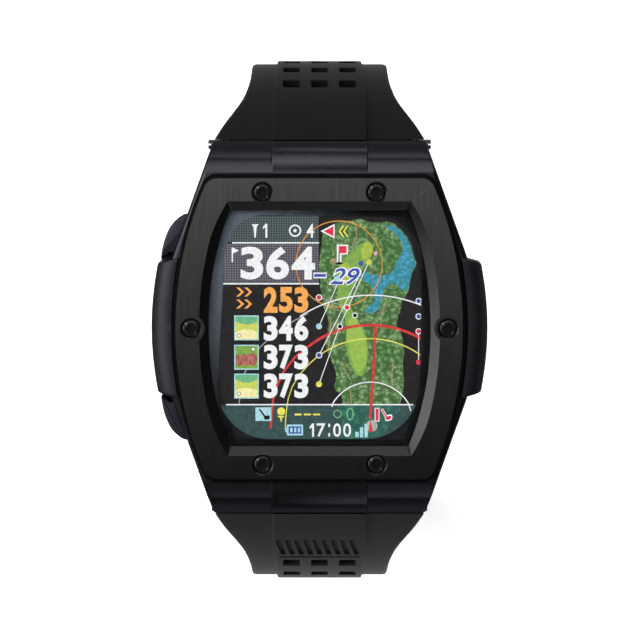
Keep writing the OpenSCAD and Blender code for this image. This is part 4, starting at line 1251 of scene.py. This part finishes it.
def rect(group, x0, y0, x1, y1, layer, mat, r=0.0):
    if r:
        poly(group, rrect((x0 + x1) / 2, (y0 + y1) / 2, (x1 - x0) / 2, (y1 - y0) / 2, r, 3), layer, mat)
    else:
        poly(group, [(x0, y0), (x1, y0), (x1, y1), (x0, y1)], layer, mat)


def digits(group, s, x0, y0, x1, y1, layer, mat, bold=0.0, shear=0.0):
    """Numerals fitted to a picture box, as a thin closed mesh."""
    cu = bpy.data.curves.new("t", "FONT")
    cu.body = s
    cu.size = 1.0
    cu.offset = bold
    cu.shear = shear
    cu.resolution_u = 4
    cu.extrude = 0.01
    t = bpy.data.objects.new("t", cu)
    sc.collection.objects.link(t)
    bpy.context.view_layer.update()
    dg = bpy.context.evaluated_depsgraph_get()
    me = bpy.data.meshes.new_from_object(t.evaluated_get(dg))
    bpy.data.objects.remove(t)
    bpy.data.curves.remove(cu)
    co = np.array([v.co for v in me.vertices])
    lo_, hi_ = co.min(0), co.max(0)
    X0, X1, Y0, Y1 = px(x0), px(x1), py(y1), py(y0)
    z = Z0 + LZ * layer
    for v in me.vertices:
        u = (v.co.x - lo_[0]) / (hi_[0] - lo_[0])
        w = (v.co.y - lo_[1]) / (hi_[1] - lo_[1])
        q = (v.co.z - lo_[2]) / (hi_[2] - lo_[2])
        v.co = Vector(((X0 + (X1 - X0) * u) * MM, (Y0 + (Y1 - Y0) * w) * MM, (z + 0.010 * q) * MM))
    bm = bmesh.new()
    bm.from_mesh(me)
    bmesh.ops.remove_doubles(bm, verts=bm.verts, dist=1e-8)
    bm.to_mesh(me)
    bm.free()
    me.materials.clear()
    me.materials.append(G[mat])
    o = bpy.data.objects.new("t", me)
    sc.collection.objects.link(o)
    add(group, o)


def digit_row(group, s, boxes, y0, y1, layer, mat, bold=0.0):
    for ch, (a, b) in zip(s, boxes):
        digits(group, ch, a, y0, b, y1, layer, mat, bold)


# background plate of the lit area
base = flat("display_cell", [(x, y) for x, y in act], 0, G["dark"])
base.data.transform(Matrix.Translation(Vector((0, 0, -0.00003))))
sx = Matrix.Diagonal(Vector((1.01, 1.01, 1, 1)))
base.data.transform(sx)
put(base, "case", "display", "touch_panel")

# left column
rect("ui_panels", 214, 216, 318.5, 242.6, 1, "green_panel")
rect("ui_panels", 214, 244, 318.5, 283.6, 1, "grey_panel")
rect("ui_lines", 232, 242.5, 319, 243.9, 3, "white")
rect("ui_lines", 218, 283.6, 319, 285.0, 3, "white")
poly("ui_text", [(262.8, 227.4), (265.4, 224), (267.2, 224), (267.2, 238.2), (265.3, 238.2), (265.3, 227.6), (262.8, 229.6)], 9, "white")
# hole marker: small tee peg beside the hole number
poly("ui_text", [(251.5, 224.5), (258.5, 224.5), (256.6, 227.5), (255.6, 238), (254.4, 238), (253.4, 227.5)], 9, "white")
digits("ui_text", "4", 306.5, 224, 314, 238, 9, "white", 0.015)
# par marker: ring with a dot
ring("ui_text", 295, 231, 4.6, 6.2, 9, "white", 40)
disc("ui_text", 295, 231, 1.7, 9, "white")
# front-of-green marker: small flag
rect("ui_text", 231.5, 248, 232.9, 262.5, 9, "white")
poly("ui_text", [(232.9, 248), (238.8, 251), (232.9, 254)], 9, "white")
digit_row("ui_text", "364", [(240.5, 263.2), (266, 289.1), (291.5, 315)], 247, 280, 9, "white", 0.035)
# lay-up marker: two rows of chevrons
for yy in (292.5, 304.5):
    for xx in (236, 244):
        poly("ui_text", [(xx, yy - 4.5), (xx + 3, yy - 4.5), (xx + 8, yy), (xx + 3, yy + 4.5), (xx, yy + 4.5), (xx + 5, yy)], 9, "orange")
NB = [(263.6, 277.5), (279, 292.7), (294.3, 308.3)]
digit_row("ui_text", "253", NB, 287.5, 313.4, 9, "orange", 0.045)
digit_row("ui_text", "346", NB, 316.5, 341.5, 9, "white", 0.045)
digit_row("ui_text", "373", NB, 345.4, 370.2, 9, "white", 0.045)
digit_row("ui_text", "373", NB, 374.3, 399.2, 9, "white", 0.045)
# hazard icons
for y0, kind in ((316, "bunker"), (345.5, "bush"), (374.5, "bunker")):
    rect("ui_icons", 234, y0, 258.6, y0 + 25, 7, "sky")
    if kind == "bunker":
        rect("ui_icons", 235.2, y0 + 1.2, 257.4, y0 + 23.8, 8, "lime")
        P = [(235.2, y0 + 1.2), (257.4, y0 + 1.2), (257.4, y0 + 5.5)] + arc3((257.4, y0 + 5.5), (246, y0 + 9), (235.2, y0 + 5.5), 10)[1:]
        poly("ui_icons", P, 9, "mid")
        P = arc3((235.2, y0 + 17), (246.3, y0 + 14), (257.4, y0 + 17), 10) + [(257.4, y0 + 23.8), (235.2, y0 + 23.8)]
        poly("ui_icons", P, 9, "sand")
        disc("ui_icons", 238.6, y0 + 20.2, 2.1, 10, "black")
        disc("ui_icons", 238.6, y0 + 20.2, 1.6, 11, "white")
    else:
        rect("ui_icons", 235.2, y0 + 1.2, 257.4, y0 + 23.8, 8, "grass")
        smooth_poly("ui_icons", [(235.6, y0 + 12), (238, y0 + 9), (241, y0 + 11), (244, y0 + 9.2), (247, y0 + 10.5), (250, y0 + 8.6), (254, y0 + 9), (257, y0 + 12), (256.6, y0 + 18),
                                 (254, y0 + 21), (250, y0 + 20), (246, y0 + 21.4), (242, y0 + 20.2), (238, y0 + 21.4), (235.8, y0 + 18)], 9, "bush")
        disc("ui_icons", 253, y0 + 4.4, 2.1, 10, "black")
        disc("ui_icons", 253, y0 + 4.4, 1.6, 11, "white")

# map, right half
rough = [(330, 232), (333, 226), (340, 222), (352, 221), (358, 219), (369, 222), (380, 223), (392, 223), (402, 231), (410, 243), (415, 258), (416, 265), (412, 274), (408, 292),
         (403, 301), (402, 305), (399, 316), (397, 326), (401, 333), (404, 350), (403, 366), (404, 385), (402, 398), (397, 412), (392, 426), (386, 440), (342, 440), (343, 424),
         (341, 410), (343, 398), (335, 390), (336, 380), (334, 366), (327, 352), (326, 340), (328, 328), (327, 316), (323, 305), (321, 292), (319.5, 276), (319.5, 258), (322, 245), (326, 238)]
smooth_poly("map_ground", rough, 1, "trees", 4, 0.55, 3)
river = [(384, 226), (392, 226), (400, 231), (409, 243), (413, 256), (416, 264), (412, 272), (409, 286), (405, 292), (400, 291), (396, 284), (388, 286), (384, 291), (381, 300), (378, 310),
         (370, 314), (365, 311), (370, 306), (375, 301), (373, 292), (371, 286), (365, 282), (362, 277), (365, 272), (372, 275), (382, 276), (390, 274), (395, 268), (397, 261), (401, 255),
         (403, 248), (400, 240), (393, 232)]
smooth_poly("map_ground", river, 2, "water", 3, 0.4, 5)
fair = [(341, 262), (350, 254), (358, 246), (366, 243), (372, 247), (372, 256), (366, 264), (361, 272), (357, 282), (352, 292), (350, 304), (354, 314), (360, 324), (366, 336), (368, 350), (367, 364),
        (363, 376), (355, 374), (349, 360), (346, 346), (346, 330), (344, 316), (338, 302), (338, 288), (337, 274)]
smooth_poly("map_ground", fair, 2, "grass", 5, 0.25, 7)
smooth_poly("map_ground", [(348, 322), (354, 318), (361, 328), (366, 342), (367, 358), (362, 372), (355, 370), (350, 354), (347, 338)], 3, "fairway", 5)
smooth_poly("map_ground", [(361, 250), (365, 243), (371, 244), (373, 251), (369, 258), (363, 259)], 3, "putt", 5)
smooth_poly("map_ground", [(339, 268), (345, 262), (350, 268), (347, 282), (340, 284)], 3, "putt", 5)
smooth_poly("map_ground", [(376, 240), (386, 236), (396, 244), (398, 256), (392, 268), (384, 274), (376, 268), (378, 254)], 3, "wood", 5, 0.5, 9)
smooth_poly("map_ground", [(362, 285), (370, 288), (372, 298), (366, 302), (360, 294)], 3, "wood", 5, 0.4, 11)
smooth_poly("map_ground", [(386, 290), (396, 287), (404, 292), (402, 300), (390, 300)], 3, "wood", 5, 0.4, 12)
smooth_poly("map_ground", [(380, 338), (392, 340), (394, 352), (384, 362), (376, 352)], 3, "wood", 5, 0.4, 13)
smooth_poly("map_ground", [(323, 232), (334, 240), (330, 262), (326, 284), (322, 280), (321, 256)], 3, "wood", 5, 0.4, 14)
smooth_poly("map_ground", [(340, 390), (350, 392), (352, 402), (344, 404)], 3, "wood", 5, 0.4, 15)
for pts in ([(355.5, 223), (356.5, 236), (354.5, 241), (352, 247)], [(331, 318), (330, 330), (329, 346), (328, 352)], [(386, 302), (383, 312), (381, 322), (381.5, 333)],
            [(340, 363), (345, 371), (350, 380)], [(393.5, 364), (392, 376), (393, 387)], [(350.5, 390), (351.5, 405)], [(325, 300), (332, 309), (340, 311)]):
    line("map_ground", hermite(pts, 4), 1.0, 4, "path")
disc("map_ground", 333.5, 262, 3.4, 4, "path")
smooth_poly("map_ground", [(373.5, 252.5), (376, 251.5), (378, 253.5), (376, 256), (373.8, 255)], 4, "pinkish", 4)
# ranging rings and shot lines
ring("map_marks", 339, 264.5, 42.6, 43.7, 5, "oline")
line("map_marks", arc3((300, 317), (372, 295.7), (423, 306.5), 30), 1.2, 6, "white")
line("map_marks", [(308, 314), (300, 318), (286, 326), (270, 338), (259, 349), (250, 362), (243.5, 376), (240.5, 392), (238.8, 405)], 0.9, 4, "grey")
line("map_marks", arc3((308, 347.5), (375, 325.8), (423, 340.5), 30), 2.6, 6, "red")
line("map_marks", [(308, 347), (295, 358), (284, 372), (277, 386), (273, 400), (271.5, 414), (270.5, 430)], 2.2, 4, "red")
line("map_marks", arc3((309, 365), (372, 339.4), (422, 356.8), 30), 1.1, 7, "yellow")
line("map_marks", [(309, 365), (299, 376), (292, 388), (288, 400), (286, 414), (285, 430)], 0.9, 4, "yellow")
line("map_marks", [(375.5, 326), (374.5, 350), (373, 380), (371.3, 404), (370.3, 420)], 2.6, 7, "red")
line("map_marks", [(332, 408)] + arc3((333, 404), (371, 383), (409, 405), 26) + [(411, 412)], 1.1, 7, "white")
line("map_marks", [(369, 262), (340, 326), (319, 385)], 0.8, 6, "white")
line("map_marks", [(358, 279), (319, 356)], 0.8, 6, "white")
line("map_marks", [(339, 281), (319, 327)], 0.8, 6, "white")
line("map_marks", [(319, 298), (347, 308)], 0.8, 6, "grey")
line("map_marks", [(418.8, 332), (418.8, 363)], 0.8, 6, "white")
def dot(x, y, mat, r=2.3, rim=True):
    if rim:
        disc("map_marks", x, y, r + 0.9, 9, "white")
    disc("map_marks", x, y, r, 10, mat)


dot(319, 298, "crimson"); dot(319, 327, "sky", 3.0, False); dot(319, 356, "blue"); dot(319, 385, "yellow", 3.0, False)
dot(347, 308, "crimson"); dot(355, 316, "black", 2.0); dot(340, 327, "black", 2.0); dot(361, 264, "blue", 2.5, False); dot(369, 262.5, "lime", 3.0, False)
dot(418.8, 301.5, "blue", 2.2); dot(418.8, 317, "blue", 2.2); dot(418.8, 332, "crimson", 2.2); dot(418.8, 363, "crimson", 2.6, False)
disc("map_marks", 337, 279, 3.0, 11, "sky")
# pin flag, direction arrow, elevation number
rect("map_flag", 336.8, 245, 341.6, 264, 8, "white")
rect("map_flag", 336.8, 245, 348.0, 254.8, 8, "white", 0.8)
rect("map_flag", 338.7, 246.5, 346.6, 253.6, 9, "crimson", 0.6)
rect("map_flag", 338.5, 253, 339.6, 263, 9, "black")
smooth_poly("map_flag", [(334.5, 263.6), (339, 262.4), (343.5, 263.6), (339, 265)], 9, "black", 4)
poly("map_flag", [(320.5, 231.5), (334.6, 224.2), (334.6, 239)], 8, "white")
poly("map_flag", [(323.6, 231.6), (333.4, 226.6), (333.4, 236.8)], 9, "crimson")
# wind marker: two chevrons
for xx in (338.6, 343.0):
    poly("map_flag", [(xx + 4.0, 226), (xx, 231.7), (xx + 4.0, 237.4), (xx + 5.6, 237.4), (xx + 1.9, 231.7), (xx + 5.6, 226)], 9, "yellow")
digits("map_flag", "29", 328.6, 267.4, 361.4, 286.2, 9, "white", 0.07, 0.35)
digits("map_flag", "29", 330.2, 268.6, 359.8, 285.0, 10, "blue", 0.012, 0.35)
rect("map_flag", 313.5, 273.0, 326.6, 278.8, 9, "white")
rect("map_flag", 314.3, 274.4, 325.8, 277.4, 10, "blue")

# status band
band = [(x, y) for x, y in act if y > 406]
poly("ui_band", [(212, 406), (428, 406), (428, 446), (212, 446)], 3, "teal")
smooth_poly("ui_band", [(338, 407), (398, 407), (392, 420), (384, 436), (372, 446), (340, 446), (342, 424)], 4, "waterband", 4, 0.4, 21)
rect("ui_lines", 226, 405, 413.5, 406.3, 6, "white")
rect("ui_text", 255.2, 408.4, 271.2, 422, 8, "sky")
# club marker in the box: shaft and head
line("ui_text", [(259, 410), (265.6, 418.6)], 1.7, 9, "black")
smooth_poly("ui_text", [(263.6, 417.4), (268.8, 416.4), (269.4, 419.6), (264.8, 420.8)], 9, "black", 4)
# drive marker: ball and tee, then three dashes
disc("ui_text", 281, 412.4, 4.0, 8, "yellow")
poly("ui_text", [(276.8, 417), (285.2, 417), (282, 419), (281.6, 422.6), (280.4, 422.6), (280, 419)], 8, "yellow")
for k in range(3):
    rect("ui_text", 294.6 + 9.2 * k, 414.6, 301.6 + 9.2 * k, 416.4, 8, "yellow")
ring("ui_text", 337.5, 415, 3.1, 4.2, 8, "mid", 32)
digits("ui_text", "0", 346.5, 408.6, 354, 421.6, 8, "mid", -0.005)
digits("ui_text", "1", 374.8, 408.8, 379.6, 422.6, 8, "white", 0.07)
digits("ui_text", "1", 375.6, 409.6, 378.8, 421.8, 9, "crimson", 0.01)
line("ui_text", [(382, 410), (387, 419)], 2.6, 8, "white")
line("ui_text", [(382.2, 410.4), (386.8, 418.6)], 1.4, 9, "crimson")
smooth_poly("ui_text", [(385, 417), (391.6, 415.4), (392, 420.6), (386, 422)], 8, "white", 4)
smooth_poly("ui_text", [(386, 418), (390.8, 416.8), (391, 419.8), (386.6, 420.8)], 9, "crimson", 4)
rect("ui_text", 286.6, 425.6, 303, 436.6, 8, "sky", 1.0)
rect("ui_text", 285.0, 429.0, 286.8, 433.2, 8, "sky")
rect("ui_text", 288.4, 427.4, 301.2, 434.8, 9, "blue", 0.6)
for k in range(3):
    rect("ui_text", 290.2 + 3.8 * k, 428.8, 292.4 + 3.8 * k, 433.4, 10, "sky")
poly("ui_text", [(309.6, 428.0), (312.2, 424.4), (314.0, 424.4), (314.0, 438.0), (312.0, 438.0), (312.0, 428.2), (309.6, 430.2)], 9, "white")
digit_row("ui_text", "7:00", [(316.6, 325.4), (328.2, 330.2), (333.2, 341.0), (343.2, 351.2)], 424.4, 438.0, 9, "white", 0.012)
for k, h in enumerate((5.5, 10, 13.5)):
    rect("ui_text", 355.4 + 4.6 * k, 438.4 - h, 358.8 + 4.6 * k, 438.4, 9, "sky")
disc("ui_text", 371.8, 427, 5.8, 7, "grey")
poly("ui_text", [(370.4, 420.6), (373.4, 433), (368.8, 433)], 8, "red")

for grp, objs in pieces.items():
    mats = []
    bm = bmesh.new()
    for o in objs:
        mat = o.data.materials[0]
        if mat not in mats:
            mats.append(mat)
        k = mats.index(mat)
        for p in o.data.polygons:
            p.material_index = k
        bm.from_mesh(o.data)
    me = bpy.data.meshes.new("display_" + grp)
    bm.to_mesh(me)
    bm.free()
    for m_ in mats:
        me.materials.append(m_)
    out = bpy.data.objects.new("display_" + grp, me)
    sc.collection.objects.link(out)
    for o in objs:
        d = o.data
        bpy.data.objects.remove(o)
        bpy.data.meshes.remove(d)
    put(out, "case", "display")

# ------------------------------------------------------------------ floor, light, camera
FZ = -61.0
fl = obj_from("floor", [(-900, -900, FZ - 0.02), (900, -900, FZ - 0.02), (900, 900, FZ - 0.02), (-900, 900, FZ - 0.02)], [(0, 1, 2, 3)])
fm = bpy.data.materials.new("floor_pale")
fm.use_nodes = True
fb = fm.node_tree.nodes["Principled BSDF"]
fb.inputs["Base Color"].default_value = (0.93, 0.93, 0.93, 1)
fb.inputs["Emission Color"].default_value = (1, 1, 1, 1)
fb.inputs["Emission Strength"].default_value = 0.42
fb.inputs["Roughness"].default_value = 0.9
fb.inputs["Specular IOR Level"].default_value = 0.1
fl.data.materials.append(fm)

W_DARK, W_SIDE, W_TOP, W_LOW = 0.07, 0.50, 0.34, 1.10
w = bpy.data.worlds.new("studio")
sc.world = w
w.use_nodes = True
wn, wl = w.node_tree.nodes, w.node_tree.links
wt = wn.new("ShaderNodeTexCoord")
sep = wn.new("ShaderNodeSeparateXYZ")
wl.new(wt.outputs["Generated"], sep.inputs["Vector"])
dt = wn.new("ShaderNodeVectorMath")
dt.operation = "DOT_PRODUCT"
dt.inputs[1].default_value = (-0.90, 0.40, 0.0)
wl.new(wt.outputs["Generated"], dt.inputs[0])


def rng(src, a0, a1, b0, b1):
    m = wn.new("ShaderNodeMapRange")
    m.inputs["From Min"].default_value = a0
    m.inputs["From Max"].default_value = a1
    m.inputs["To Min"].default_value = b0
    m.inputs["To Max"].default_value = b1
    m.interpolation_type = "SMOOTHSTEP"
    wl.new(src, m.inputs["Value"])
    return m.outputs["Result"]


side = rng(dt.outputs["Value"], -0.05, 0.75, W_DARK, W_SIDE)
low = rng(sep.outputs["Z"], 0.07, 0.18, 1.0, 0.0)
mu = wn.new("ShaderNodeMix")
wl.new(low, mu.inputs[0])
wl.new(side, mu.inputs[2])
mu.inputs[3].default_value = W_LOW
hi = rng(sep.outputs["Z"], 0.70, 0.97, 0.0, 1.0)
mxw = wn.new("ShaderNodeMix")
wl.new(hi, mxw.inputs[0])
wl.new(mu.outputs[0], mxw.inputs[2])
mxw.inputs[3].default_value = W_TOP
wl.new(mxw.outputs[0], wn["Background"].inputs["Strength"])
wn["Background"].inputs["Color"].default_value = (0.95, 0.97, 1.0, 1)


def area(name, loc, target, size, power, color=(1, 1, 1), size_y=None):
    L = bpy.data.lights.new(name, "AREA")
    L.energy = power
    L.color = color
    L.size = size
    if size_y:
        L.shape = "RECTANGLE"
        L.size_y = size_y
    o = bpy.data.objects.new(name, L)
    sc.collection.objects.link(o)
    o.location = Vector(loc)
    o.rotation_euler = (Vector(target) - Vector(loc)).to_track_quat("-Z", "Y").to_euler()
    return o


area("soft_left", (-0.43, 0.10, 0.38), (0, 0, 0), 0.36, 4.0, (1.0, 0.99, 0.98), 0.44)
area("strip_left", (-0.30, 0.07, 0.56), (0, 0, 0), 0.08, 0.45, (0.86, 0.93, 1.0), 0.42)
area("front", (0.10, -0.46, 0.40), (0, 0, 0), 0.26, 0.5, (0.95, 0.97, 1.0))
area("soft_back", (0.0, 0.27, 0.60), (0, 0, 0), 0.50, 2.0, (1, 1, 1), 0.16)
area("low_back", (0.10, 0.49, 0.28), (0, 0, 0), 0.40, 0.75, (1, 1, 1), 0.12)

cam = bpy.data.cameras.new("camera")
co = bpy.data.objects.new("camera", cam)
sc.collection.objects.link(co)
D = 0.75
tgt = Vector((0.07 * MM, 1.22 * MM, 0.0125))
tilt = math.radians(3.0)
co.location = tgt + Vector((0, math.sin(tilt), math.cos(tilt))) * D
fw = (tgt - co.location).normalized()
rt = fw.cross(Vector((0, 1, 0))).normalized()
upv = rt.cross(fw).normalized()
co.rotation_euler = Matrix(((rt.x, upv.x, -fw.x), (rt.y, upv.y, -fw.y), (rt.z, upv.z, -fw.z))).to_euler()
cam.sensor_width = 36.0
cam.lens = 36.0 * D / (640 * 0.144 * MM)
cam.clip_start = 0.01
cam.clip_end = 10
sc.camera = co
